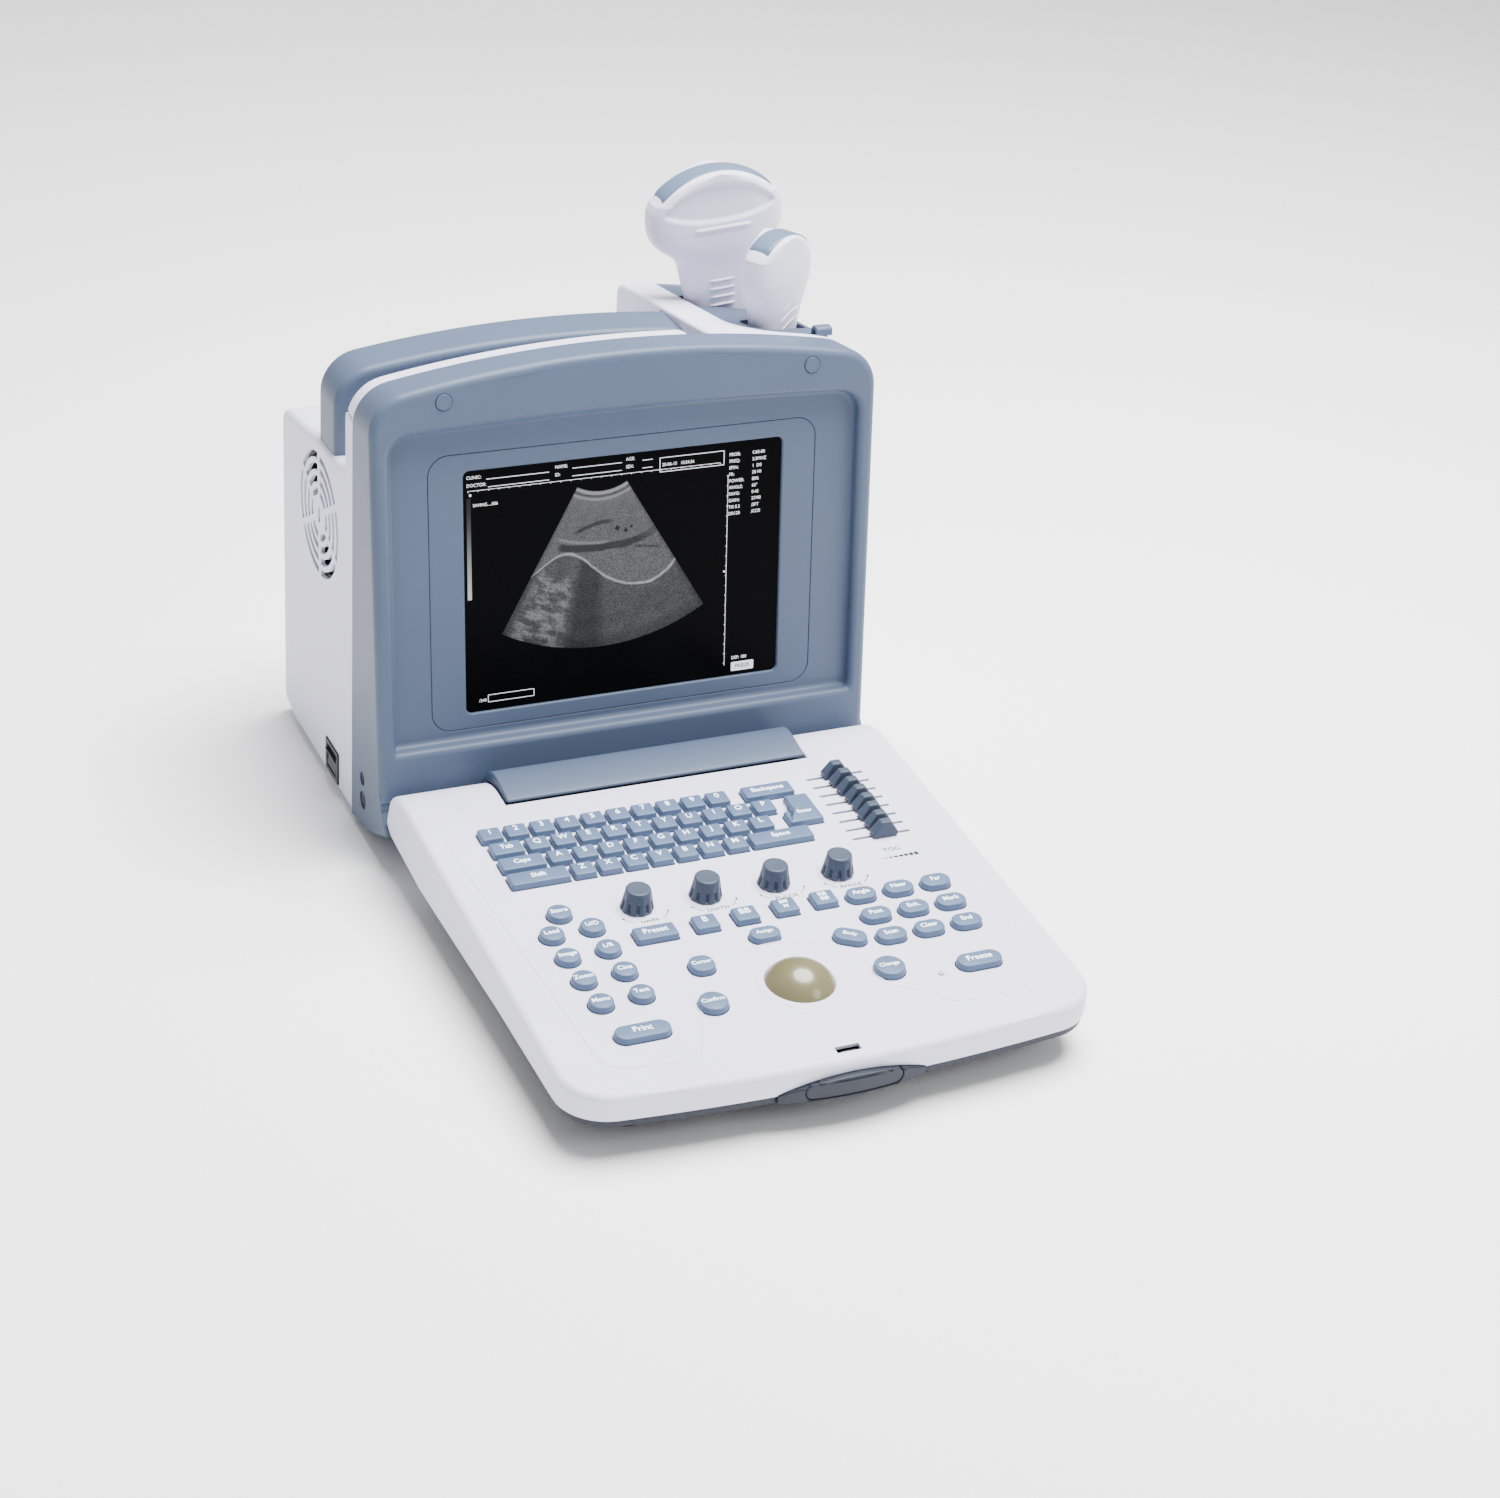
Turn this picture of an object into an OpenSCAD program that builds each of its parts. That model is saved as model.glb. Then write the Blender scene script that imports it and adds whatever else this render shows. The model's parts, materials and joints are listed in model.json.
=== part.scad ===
// Portable ultrasound scanner with a fold-down keyboard, a carrying handle and two probes in a tray.
// Millimetres, +Z up, +X to the operator's right, +Y to the back. The origin lies on the table,
// under the middle of the whole object; the modules count y from the line where the keyboard's top
// meets the front of the main unit.

/* [Main unit] */
// Width of the main unit
body_width = 334; // [326:1:344]
// Depth from the keyboard line to the back face
body_back = 240; // [232:1:250]
// Height of the arched top where the bezel meets the rear case
arch_top = 314; // [308:1:320]
// Radius of the arch over the top
arch_radius = 800; // [650:10:1000]
// Slope of the top down to the back, in degrees
top_slope = 8; // [6:0.5:9]
// Underside of the main unit above the table
body_floor = 4.5; // [4:0.5:6]
// Wall of the plastic shells
wall = 3; // [2.5:0.1:3.4]

/* [Screen] */
// Visible width of the display
screen_width = 213; // [205:1:216]
// Visible height of the display
screen_height = 159; // [152:1:161]
// Backward lean of the screen, in degrees
screen_lean = 6.07; // [5.8:0.05:6.4]

/* [Keyboard] */
// Slope of the keyboard down to the front, in degrees
panel_slope = 3.8; // [3.6:0.1:4]
// Length of the keyboard from the hinge line to the front
panel_length = 317; // [312:1:322]
// Width of the keyboard
panel_width = 329; // [326:1:331]
// Height of a key above the keyboard's top
key_rise = 4; // [3:0.5:5]
// Distance between neighbouring letter keys
key_pitch = 16.6; // [16.4:0.1:16.8]
// Radius of the trackball
ball_radius = 25; // [23:0.5:26]

/* [Handle and tray] */
// Depth of the carrying handle from front to back
handle_depth = 36; // [32:1:38]
// Thickness of the handle's bar
handle_bar = 20; // [16:1:24]

/* [Hidden] */
$fn = 48;
eps = 0.01;
half = body_width / 2;
line_y = 40;                // the keyboard line lies this far behind the origin
corner_r = 26;              // corner of the arched outline
seam_y = 84;                // bezel and rear case meet here
rim_back = 98;              // back of the rim over the top
deck_front = 126;           // where the handle's foot starts
deck_z = 236;               // deck beside the hump, at its front
deck_back_z = 224;
hump_x = 64;                // left wall of the hump
hinge_y = 5;                // keyboard axis
hinge_z = 45.3;
ear_r = 17;                 // rounded back end of the keyboard
pocket_r = 18.2;            // hollow in the bezel around it
panel_z = 62;               // keyboard's top at the hinge line
cover_half = 101;           // hinge cover, half length
handle_mid = -16;           // crown of the handle
handle_top = 302.5;
glass_y = 36.86;            // a point of the glass plane
glass_z = 64.45;
glass_w = 106;              // middle of the glass up its plane
border_n = 11.4;            // border in front of the glass
floor_n = 2;                // recess floor in front of the glass
pin_r = 4;
pin_fit = 0.05;
key_gap = 0.5;
lift = 2.2;                 // keyboard's top plate
fan_y = 155;
fan_z = 184;
fan_r = 41.3;
tray_x = 90;
tray_y = 92;
probe_a = [113, 186, 297];  // big probe where it leaves the tray
probe_b = [127, 124, 299];  // small probe
probe_b_turn = 28;
switch_y = 125;
switch_z = 21;

white = [0.87, 0.865, 0.9];
blue_grey = [0.42, 0.49, 0.58];
key_blue = [0.55, 0.63, 0.72];
dark_grey = [0.27, 0.3, 0.35];
black = [0.06, 0.06, 0.07];
steel = [0.7, 0.71, 0.73];
green = [0.1, 0.32, 0.2];

// ---------- frames and outlines ----------
module on_panel() translate([0, 0, panel_z]) rotate([panel_slope, 0, 0]) children();
module on_screen() translate([0, glass_y, glass_z]) rotate([-screen_lean, 0, 0]) children();
// a 2D outline whose second coordinate becomes Z, carried from y = a to y = b
module slab_y(a, b) translate([0, b, 0]) rotate([90, 0, 0]) linear_extrude(b - a) children();
// a 2D outline of (y, z) carried from x = a to x = b
module slab_x(a, b) translate([a, 0, 0]) rotate([90, 0, 90]) linear_extrude(b - a) children();
module rod_x(a, b, r) translate([a, 0, 0]) rotate([0, 90, 0]) cylinder(h = b - a, r = r);

module rounded(w, h, r) {
  square([w - 2 * r, h], center = true);
  square([w, h - 2 * r], center = true);
  for (sx = [-1, 1], sy = [-1, 1]) translate([sx * (w / 2 - r), sy * (h / 2 - r)]) circle(r);
}
function arc(cx, cy, r, from, to, n) = [for (i = [0 : n]) let (a = from + (to - from) * i / n)
  [cx + r * cos(a), cy + r * sin(a)]];
// arched outline: top at 0, sides at +-w, corners r, down to -d; the corners run smoothly into the arch
module arched(w, big, r, d) {
  low = -big + sqrt(pow(big - r, 2) - pow(w - r, 2));
  meet = atan2(low + big, w - r);
  polygon(concat([[w, -d]], arc(w - r, low, r, 0, meet, 9),
    [for (p = arc(0, -big, big, meet, 180 - meet, 26)) if (abs(p[0]) < (w - r) * big / (big - r) - 0.5) p],
    arc(r - w, low, r, 180 - meet, 180, 9), [[-w, -d]]));
}
// the arched prism of the whole main unit, taken in by t
module arch_prism(t) translate([0, seam_y, arch_top]) rotate([-top_slope, 0, 0])
  slab_y(-170, 230) translate([0, -t]) arched(half - t, arch_radius - t, corner_r - t, 420);

// ---------- main unit ----------
function border_y(z) = glass_y + (z - glass_z) * tan(screen_lean) - border_n / cos(screen_lean);
function back_y(z) = glass_y + (z - glass_z) * tan(screen_lean) + 1.2;

module case_side(t) polygon([[seam_y + t, body_floor + t], [212, body_floor + t], [236 - t, 9 + t],
  [body_back - t, 15 + t], [body_back - t, deck_back_z - 4 - t], [body_back - 6 - t, deck_back_z + 1 - t],
  [163, deck_z - 1 - t], [118, deck_z - t], [rim_back + 4 - t, deck_z + 4 - t],
  [rim_back - t, deck_z + 14 - t], [rim_back - t, 277 - t], [seam_y + t, 277 - t]]);
module hump_side(t) polygon([[seam_y + t, body_floor + t], [212, body_floor + t], [236 - t, 9 + t],
  [body_back - t, 15 + t], [body_back - t, 282 - t], [body_back - 5 - t, 289 - t],
  [seam_y + t, 330]]);

grille_bars = [88, 27, -30];
module grille() difference() {
  for (i = [0 : 3]) difference() { circle(fan_r - 8 * i); circle(fan_r - 4.3 - 8 * i); }
  for (a = grille_bars) rotate(a) square([100, 4.4], center = true);
}

// ledge that carries the probe tray
module tray_ledge() intersection() {
  translate([0, 0, 235.2]) linear_extrude(3.4) difference() {
    translate([tray_x - 5, tray_y - 5])
      square([half - wall + 6 - tray_x, body_back - wall + 6 - tray_y]);
    tray_plan(-9);
  }
  slab_x(hump_x, half - 1) hump_side(1);
}
module rear_case() color(white) {
  tray_ledge();
  case_shell();
}
module case_shell() difference() {
  intersection() {
    union() {
      slab_x(-half, hump_x + 6) case_side(0);
      slab_x(hump_x, half) hump_side(0);
    }
    arch_prism(0);
  }
  // inside of the shell, open to the front
  intersection() {
    union() {
      slab_x(-half + wall, hump_x + 6) difference() {
        case_side(wall);
        translate([seam_y, 262]) square([20, 30]);
      }
      slab_x(hump_x + wall, half - wall) hump_side(wall);
    }
    arch_prism(wall);
  }
  intersection() {
    slab_x(-half + wall, half - wall) polygon([[seam_y - 1, body_floor + wall],
      [seam_y + wall + 1, body_floor + wall], [seam_y + wall + 1, 262], [seam_y - 1, 262]]);
    arch_prism(wall);
  }
  // step that the rim over the top sits in
  translate([-half - 1, seam_y - 1, 276.8]) cube([hump_x + half + 1 - 14, rim_back - seam_y + 2, 60]);
  // tray well
  translate([0, 0, 238.7]) linear_extrude(90) tray_plan(0.3);
  // fan grille
  translate([-half - 1, fan_y, fan_z]) rotate([90, 0, 90]) linear_extrude(wall + 2) {
    grille();
    rounded(4.4, 11, 2.1);
  }
  // switch, inlet and socket openings
  translate([-half - 1, switch_y - 11.3, switch_z - 9.3]) cube([wall + 2, 22.6, 18.6]);
  back_opening(-110, 32, 28.4, 20.4);
  for (x = [-20, 50]) back_opening(x, 60, 52.6, 22.6);
  // cooling slots in the back
  for (i = [0 : 9]) translate([-118 + i * 9, body_back - wall - 1, 150]) cube([3.5, wall + 2, 40]);
  case_screw_sites() translate([0, 0, -20]) cylinder(h = 30, r = 1.9);
}
module back_opening(x, z, w, h) translate([x - w / 2, body_back - wall - 1, z - h / 2])
  cube([w, wall + 2, h]);
module case_screw_sites() for (p = [[-150, 20], [150, 20], [-150, 205], [150, 205]])
  translate([p[0], body_back, p[1]]) rotate([-90, 0, 0]) children();

module top_rim() color(white) difference() {
  intersection() {
    translate([-half, seam_y, 277]) cube([half + hump_x - 15, rim_back - seam_y, 60]);
    arch_prism(0);
  }
  intersection() {
    translate([-half, seam_y - 1, 262]) cube([half + hump_x - 12, rim_back - seam_y - wall + 1, 70]);
    arch_prism(wall);
  }
}

module bezel_side(t) polygon([[seam_y, body_floor + t], [60, 8 + t], [34, 17 + t], [11 + t, 27.5 + t],
  [border_y(45) + t, 45], [border_y(62) + t, 62], [border_y(316) + t, 316], [border_y(316) + t, 340],
  [seam_y, 340]]);
module recess_plan() intersection() {
  translate([0, 217]) arched(155.5, 3000, 14, 207);
  translate([0, 117]) rounded(311, 230, 14);
}
frame_w = glass_w + 0.8;    // middle and size of the loose frame round the glass
frame_width = 258;
frame_height = 180;

module front_bezel() color(blue_grey) difference() {
  intersection() {
    slab_x(-half, half) bezel_side(0);
    arch_prism(0);
  }
  // room for the keyboard's rounded back end
  translate([0, hinge_y, hinge_z]) rod_x(-half - 1, half + 1, pocket_r);
  // recess around the screen
  on_screen() slab_y(-border_n - 20, -floor_n) recess_plan();
  on_screen() translate([0, 0, frame_w]) slab_y(-10, 20) rounded(frame_width + 0.6, frame_height + 0.6, 13.3);
  // inside of the shell, open to the back
  intersection() {
    slab_x(-half + wall, half - wall) polygon([[seam_y + 1, body_floor + wall], [60, 8 + wall],
      [40, 16.5 + wall], [back_y(30), 30], [back_y(340), 340], [seam_y + 1, 340]]);
    arch_prism(wall);
  }
  // openings for the two side knobs
  for (k = [[61.5, 42, 4.6], [60, 27, 6.1]])
    translate([0, k[0], k[1]]) rod_x(-half - 1, -half + wall + 1, k[2]);
  on_screen() for (x = [-121, 121]) translate([x, -border_n - 1, 233.5]) rotate([-90, 0, 0])
    cylinder(h = 2.6, r = 5.3);
}

module screen_frame() color(blue_grey) on_screen() difference() {
  translate([0, 0, frame_w]) slab_y(-floor_n, 1) rounded(frame_width, frame_height, 13);
  translate([0, 0, glass_w]) slab_y(-5, 3) rounded(screen_width, screen_height, 4);
}
module screen_window() color([0.02, 0.02, 0.025]) on_screen() translate([0, 0, glass_w])
  slab_y(0, 1.8) rounded(screen_width - 0.2, screen_height - 0.2, 4);
module lcd_panel() color([0.5, 0.5, 0.52]) on_screen()
  translate([-121, 2.2, glass_w - 90]) cube([242, 12, 180]);

module carry_handle() color(blue_grey) difference() {
  slab_y(deck_front, deck_front + handle_depth) difference() {
    translate([handle_mid, handle_top]) arched(half - 2 + handle_mid, arch_radius, corner_r, 70);
    translate([handle_mid, handle_top - handle_bar])
      arched(half - 18 + handle_mid, arch_radius - handle_bar, 16, 90);
    translate([hump_x - 0.3, 200]) square([120, 120]);
  }
  // the foot follows the sloping deck
  slab_x(-half - 5, -100) polygon([[163, 235.2], [118, 236.2], [118, 200], [180, 200], [180, 232]]);
}

module tray_plan(g) {
  translate([tray_x + 32, tray_y + 32]) circle(32 + g);
  translate([tray_x - g, tray_y + 32]) square([64 + g, body_back - tray_y - 38 + g]);
  translate([tray_x + 32, tray_y - g]) square([32, 100]);
}
module tray_top(drop) translate([0, 0, -drop]) intersection() {
  arch_prism(0);
  translate([0, 0, 240]) linear_extrude(90) tray_plan(0);
}
module probe_tray() color(blue_grey) difference() {
  tray_top(1.2);
  // hollow below, leaving a floor under the top and the wells
  difference() {
    translate([0, 0, -4.2]) intersection() {
      arch_prism(0);
      translate([0, 0, 239]) linear_extrude(90) tray_plan(-3);
    }
    translate([0, 0, 230]) linear_extrude(100) {
      translate([probe_a[0], probe_a[1]]) rounded(58, 42, 10);
      translate([probe_b[0], probe_b[1]]) rounded(60, 50, 10);
    }
  }
  translate([probe_a[0], probe_a[1], 246]) linear_extrude(80) rounded(50, 34, 12);
  translate([probe_b[0], probe_b[1], 246]) rotate([0, 0, probe_b_turn]) linear_extrude(80)
    rounded(46, 28, 9);
}
module cable_hook() color(blue_grey) difference() {
  translate([142, 96, 0]) {
    translate([0, 0, 290]) cube([12, 4, 14.5]);
    translate([0, -5, 301]) cube([12, 5 + eps, 3.5]);
  }
  translate([0, 0, -1.2]) arch_prism(0);
}

module fan_frame() color(dark_grey) translate([-half + wall + 0.4, fan_y, fan_z]) rotate([90, 0, 90]) {
  linear_extrude(24) difference() {
    rounded(84, 84, 5);
    circle(39);
    for (sx = [-1, 1], sy = [-1, 1]) translate([sx * 36, sy * 36]) circle(2.1);
  }
  for (a = [45 : 90 : 315]) rotate([0, 0, a]) translate([4, -2, 21]) cube([38, 4, 3]);
  translate([0, 0, 21]) cylinder(h = 3, r = 14);
  translate([0, 0, 4]) cylinder(h = 17 + eps, r = 3);
}
module fan_rotor() color([0.12, 0.12, 0.13]) translate([-half + wall + 0.4, fan_y, fan_z]) rotate([90, 0, 90])
  difference() {
    union() {
      translate([0, 0, 3]) cylinder(h = 17, r = 15);
      for (a = [0 : 360 / 7 : 359]) rotate([0, 0, a]) translate([12, 0, 4.5]) rotate([38, 0, 0])
        translate([0, -1, 0]) cube([24.5, 2, 15]);
    }
    translate([0, 0, 2]) cylinder(h = 20, r = 3 + pin_fit);
  }

module main_board() color(green) translate([-90, 196, 40]) difference() {
  cube([200, 2, 170]);
  for (x = [8, 192], z = [8, 162]) translate([x, -1, z]) rotate([-90, 0, 0]) cylinder(h = 4, r = 2);
}
module power_supply() color(steel) translate([-100, 120, 12]) difference() {
  cube([150, 60, 42]);
  translate([3, 3, 3]) cube([144, 54, 36]);
  for (i = [0 : 11]) translate([20 + i * 10, 8, -1]) cube([4, 44, 50]);
}

module switch_body() color(black) translate([-half, switch_y, switch_z]) difference() {
  union() {
    translate([-1.2, -13.5, -11.5]) cube([1.2, 27, 23]);
    translate([-eps, -11, -9]) cube([20, 22, 18]);
  }
  translate([-3, -9.5, -8]) cube([15, 19, 16]);
}
module power_rocker() color([0.09, 0.09, 0.1]) translate([-half + 5.2, switch_y, switch_z]) difference() {
  slab_y(-9, 9) polygon([[-8.2, 6], [-5.6, 0], [-6.4, -6.4], [1.5, -6.6], [1.5, 6.6]]);
  translate([-1, 0, 0]) rotate([90, 0, 0]) cylinder(h = 30, r = 1, center = true);
}
module side_knob(r) rotate([0, 90, 0]) difference() {
  union() {
    cylinder(h = 7, r = r);
    translate([0, 0, 7 - eps]) cylinder(h = 4, r = r + 1.5);
  }
  translate([-r, -0.6, -1]) cube([2 * r, 1.2, 2]);
}
module brightness_knob() color(dark_grey) translate([-half + 0.8, 61.5, 42]) side_knob(4.1);
module contrast_knob() color(dark_grey) translate([-half + 0.8, 60, 27]) side_knob(5.6);

module mains_inlet() color(black) translate([-110, body_back, 32]) difference() {
  union() {
    translate([-16, 0, -12]) cube([32, 2.5, 24]);
    translate([-14, -22, -10]) cube([28, 22 + eps, 20]);
  }
  translate([-11.5, -14, -7.5]) cube([23, 20, 15]);
}
module probe_sockets() color([0.35, 0.36, 0.38]) for (x = [-20, 50]) translate([x, body_back, 60])
  difference() {
    union() {
      translate([-29, 0, -14]) cube([58, 2.5, 28]);
      translate([-26, -14, -11]) cube([52, 14 + eps, 22]);
    }
    translate([-22, -10, -7.5]) cube([44, 20, 15]);
  }
module bumper_pads() color(blue_grey) on_screen() for (x = [-121, 121])
  translate([x, -border_n + 1.6, 233.5]) rotate([90, 0, 0]) cylinder(h = 2.2, r = 5.1);
module body_feet() color([0.13, 0.13, 0.14]) for (x = [-135, 135], y = [98, 205])
  translate([x, y, 0]) cylinder(h = body_floor, r = 10);
module case_screws() color(steel) case_screw_sites() difference() {
  union() {
    translate([0, 0, eps]) cylinder(h = 1.8, r = 3.4);
    translate([0, 0, -11]) cylinder(h = 12, r = 1.6);
  }
  translate([-2.4, -0.4, 1.1]) cube([4.8, 0.8, 1]);
}

module hinge_cover() color(blue_grey) slab_x(-cover_half, cover_half) difference() {
  polygon(concat([[-24.4, 60.5], [-24.2, 61.8], [-20, 63.2], [-12, 65.2], [-4, 66.6], [2, 66.9], [7, 65.8],
    [11, 63.4], [14, 60.6], [19, 55.4], [border_y(50) - 0.1, 50]],
    arc(hinge_y, hinge_z, 18, 10, -205, 24), [[-20, 58]]));
  translate([hinge_y, hinge_z]) circle(12);
}
module hinge_pins() color(steel) translate([0, hinge_y, hinge_z]) for (s = [0, 1]) mirror([s, 0, 0]) {
  rod_x(84, 119, pin_r);
  rod_x(86, 98, 11.9);
}

// ---------- keyboard ----------
panel_corner = 30;
panel_bow = 1250;
half_panel = panel_width / 2;
axis_py = 3.88;             // keyboard axis in the panel's own frame
axis_pz = -17;
key_x0 = -124;              // digit 1
key_y0 = -58.3;
row_step = 16.3;
row_x = [0, 24.4, 32.4, 41.4];
digits = 10;
cover_cut = 102.4;

module panel_plan(t) translate([0, -panel_length + t]) mirror([0, 1])
  arched(half_panel - t, panel_bow - t, panel_corner - t, panel_length + 30);
// side of the panel: the flat top bends down over its back end, which is round about the keyboard axis
back_r = 40;
ear_top = 12;
back_py = axis_py - sqrt(pow(back_r - ear_top, 2) - pow(back_r + axis_pz, 2));
back_a = atan2(back_r + axis_pz, axis_py - back_py);
module panel_side(t) polygon(concat([[-panel_length - 10, -t]],
  arc(back_py, -back_r, back_r - t, 90, back_a, 8),
  arc(axis_py, axis_pz, ear_top - t, back_a, 0, 10),
  arc(axis_py, axis_pz, ear_r - t, -acos((ear_top - t) / (ear_r - t)), -90, 12),
  [[-50, -35.4 + t * 0.4], [-190, -23.4 + t * 0.4], [-panel_length - 10, -15.5 + t * 0.4]]));
module rect_key(w, h, g) rounded(w - 2.4 + 2 * g, h - 3.3 + 2 * g, 1.6);
module digit_plan(g) for (i = [0 : digits - 1])
  translate([key_x0 + i * key_pitch, key_y0]) rect_key(key_pitch, row_step, g);
module letter_plan(g) for (r = [1 : 3], i = [0 : [0, 9, 8, 6][r]])
  translate([key_x0 + row_x[r] + i * key_pitch, key_y0 - r * row_step]) rect_key(key_pitch, row_step, g);
function wide_left(r) = (-130.6 + key_x0 + row_x[r] - key_pitch / 2) / 2;
module wide_plan(g) {
  for (r = [1 : 3]) translate([wide_left(r), key_y0 - r * row_step])
    rect_key(key_x0 + row_x[r] - key_pitch / 2 + 130.6, row_step, g);
  translate([59.5, key_y0]) rect_key(36, row_step, g);
  translate([47.1, key_y0 - 3 * row_step]) rect_key(43.6, row_step, g);
}
module enter_plan(g) {
  translate([70, key_y0 - 2 * row_step]) rect_key(25.6, row_step, g);
  translate([74.2, key_y0 - 1.5 * row_step]) rect_key(17.2, 2 * row_step, g);
}
mode_sites = [[-32.7, -177.6], [-6.7, -176.6], [19.3, -175.6], [45, -174.8]];
module mode_plan(g) for (p = mode_sites) translate(p) rounded(15.4 + 2 * g, 14 + 2 * g, 1.8);
module preset_plan(g) translate([-64.7, -178.5]) rounded(26.4 + 2 * g, 13.2 + 2 * g, 1.8);
round_sites = [[-111.8, -144.9], [-97.8, -162.4], [-123.2, -163.6], [-96.4, -184.6], [-121.8, -186],
  [-95, -207.2], [-120.4, -208.4], [-93.6, -229.8], [-118.8, -231.2]];
module round_plan(g) for (p = round_sites) translate(p) circle(7.6 + g);
module print_plan(g) translate([-106, -262.1]) rounded(34 + 2 * g, 13.4 + 2 * g, 6.6 + g);
module oval_plan(g) for (i = [0 : 2], j = [0 : 2]) translate([68.9 + i * 25, -176.8 - j * 21])
  rounded(19.6 + 2 * g, 13 + 2 * g, 6.4 + g);
module pointer_plan(g) {
  translate([-50.5, -214.7]) rounded(15.6 + 2 * g, 15.6 + 2 * g, 6.5 + g);
  translate([-57.9, -249.2]) circle(9 + g);
  translate([-3.3, -197.4]) rounded(19.6 + 2 * g, 12.4 + 2 * g, 6.1 + g);
  translate([44.5, -213.5]) rotate([0, 0, -32]) rounded(20.6 + 2 * g, 13 + 2 * g, 6.4 + g);
  translate([54, -247.3]) circle(9.6 + g);
}
module freeze_plan(g) translate([108.3, -255.9]) rounded(29 + 2 * g, 13.4 + 2 * g, 6.6 + g);
module all_keys(g) {
  digit_plan(g); letter_plan(g); wide_plan(g); enter_plan(g); mode_plan(g); preset_plan(g);
  round_plan(g); print_plan(g); oval_plan(g); pointer_plan(g); freeze_plan(g);
}
key_root = -5.4;            // underside of the keys, above the board
module key_body(rise) on_panel() translate([0, 0, key_root]) linear_extrude(rise - key_root) children();

ball = [-0.5, -242, -13.5];
ring_r = 27;
cup_r = 31;                 // cup below the trackball
cup_floor = -41;
knob_y = -149;
knob_x = [-64.5, -20.6, 23.9, 66.3];
knob_r = 10;
knob_h = 14;
shaft_r = 3;
slider_y0 = -50.4;
slider_step = 9.84;
slot_left = 92.5;
slot_length = 35.5;
slider_at = [110, 111.2, 111.9, 113, 113.3, 112.5, 112.6, 111.8];
latch_y = -306.2;
grip_half = 46;             // grip in the front wall: half width, reach past the wall, heights
grip_reach = 5;
grip_r = (pow(grip_half, 2) + pow(grip_reach, 2)) / (2 * grip_reach);
grip_top = -8;
grip_side = -15.6;
grip_bottom = -21.6;

module keyboard_top() color(white) on_panel() difference() {
  intersection() {
    translate([0, 0, -60]) linear_extrude(80) panel_plan(0);
    slab_x(-200, 200) panel_side(0);
  }
  // hollow inside
  intersection() {
    translate([0, 0, -60]) linear_extrude(80) difference() {
      panel_plan(wall);
      translate([-200, -34]) square([400, 60]);
    }
    translate([-200, -400, -60]) cube([400, 400, 60 - lift]);
  }
  for (s = [-1, 1]) intersection() {
    translate([s * (cover_cut + half_panel) / 2, -8, -60]) linear_extrude(80)
      square([half_panel - cover_cut - 2 * wall, 66], center = true);
    slab_x(-200, 200) panel_side(lift);
  }
  translate([-150, -36, -60]) cube([300, 8, 60 - lift]);
  // gap around the hinge cover, with the plate's edge undercut
  translate([-cover_cut, -26, -60]) cube([2 * cover_cut, 80, 80]);
  translate([-cover_cut, -36, -60]) cube([2 * cover_cut, 40, 60 - lift]);
  // bores for the hinge pins
  translate([0, axis_py, axis_pz]) rod_x(-130, 130, pin_r + pin_fit);
  // openings for keys, knobs, sliders, trackball, lamp and latch
  translate([0, 0, -10]) linear_extrude(20) {
    all_keys(key_gap);
    translate([ball[0], ball[1]]) circle(ring_r - 1.4);
    for (x = knob_x) translate([x, knob_y]) circle(shaft_r + 1);
    for (i = [0 : 7]) translate([slot_left + slot_length / 2, slider_y0 - i * slider_step])
      rounded(slot_length + 4, 2.2, 1);
    translate([82.1, -259.1]) circle(1.9);
    translate([0, latch_y]) square([15, 5.2], center = true);
  }
  // arched notch in the front wall for the grip
  slab_y(-panel_length - 13, -panel_length + 4.2) grip_front(0.2);
}
module pan_side() polygon([[-panel_length - 10, -15.6], [-190, -23.6], [-190, -25.6], [-300, -21.6],
  [-panel_length - 10, -21.6]]);

module keyboard_base() color(dark_grey) on_panel() difference() {
  union() {
    // plate inside the lower edge
    intersection() {
      translate([0, 0, -60]) linear_extrude(80) difference() {
        panel_plan(wall + 0.2);
        translate([-200, -36.2]) square([400, 60]);
      }
      slab_x(-200, 200) polygon([[-panel_length, -13.4], [-190, -21.2], [-30, -34.8], [-30, -37.4],
        [-190, -24], [-panel_length, -16.4]]);
    }
    // band that shows below the cover
    intersection() {
      translate([0, 0, -60]) linear_extrude(80) panel_plan(0.8);
      slab_x(-200, 200) pan_side();
    }
    translate([ball[0], ball[1], cup_floor]) cylinder(h = -20 - cup_floor, r = cup_r);
  }
  translate([ball[0], ball[1], cup_floor + 2]) cylinder(h = 40, r = cup_r - 2);
  translate([-grip_half - 0.2, -340, -30]) cube([2 * grip_half + 0.4, 38, 60]);
  for (x = [-120, 120], y = [-60, -285]) translate([x, y, -60]) cylinder(h = 80, r = 1.7);
}
// the grip seen from the front: an arch over a straight lower edge
grip_arch = grip_top - grip_side;
arch_r = (pow(grip_half, 2) + pow(grip_arch, 2)) / (2 * grip_arch);
arch_a = asin(grip_half / arch_r);
module grip_front(g) polygon(concat([[-grip_half - g, grip_bottom - g], [grip_half + g, grip_bottom - g]],
  arc(0, grip_top - arch_r, arch_r + g, 90 - arch_a, 90 + arch_a, 24)));
module grip_bow(t) translate([0, -panel_length - grip_reach + grip_r, -30])
  cylinder(h = 40, r = grip_r - t, $fn = 200);
module front_grip() color(dark_grey) on_panel() difference() {
  intersection() {
    slab_y(-panel_length - grip_reach - 1, -302.8) grip_front(0);
    grip_bow(0);
  }
  slab_y(-panel_length - 20, -311) translate([0, -15.2]) rounded(60.6, 10.6, 5.2);
  translate([-5.6, -312, -17]) cube([11.2, 12, 20]);
}
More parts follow.
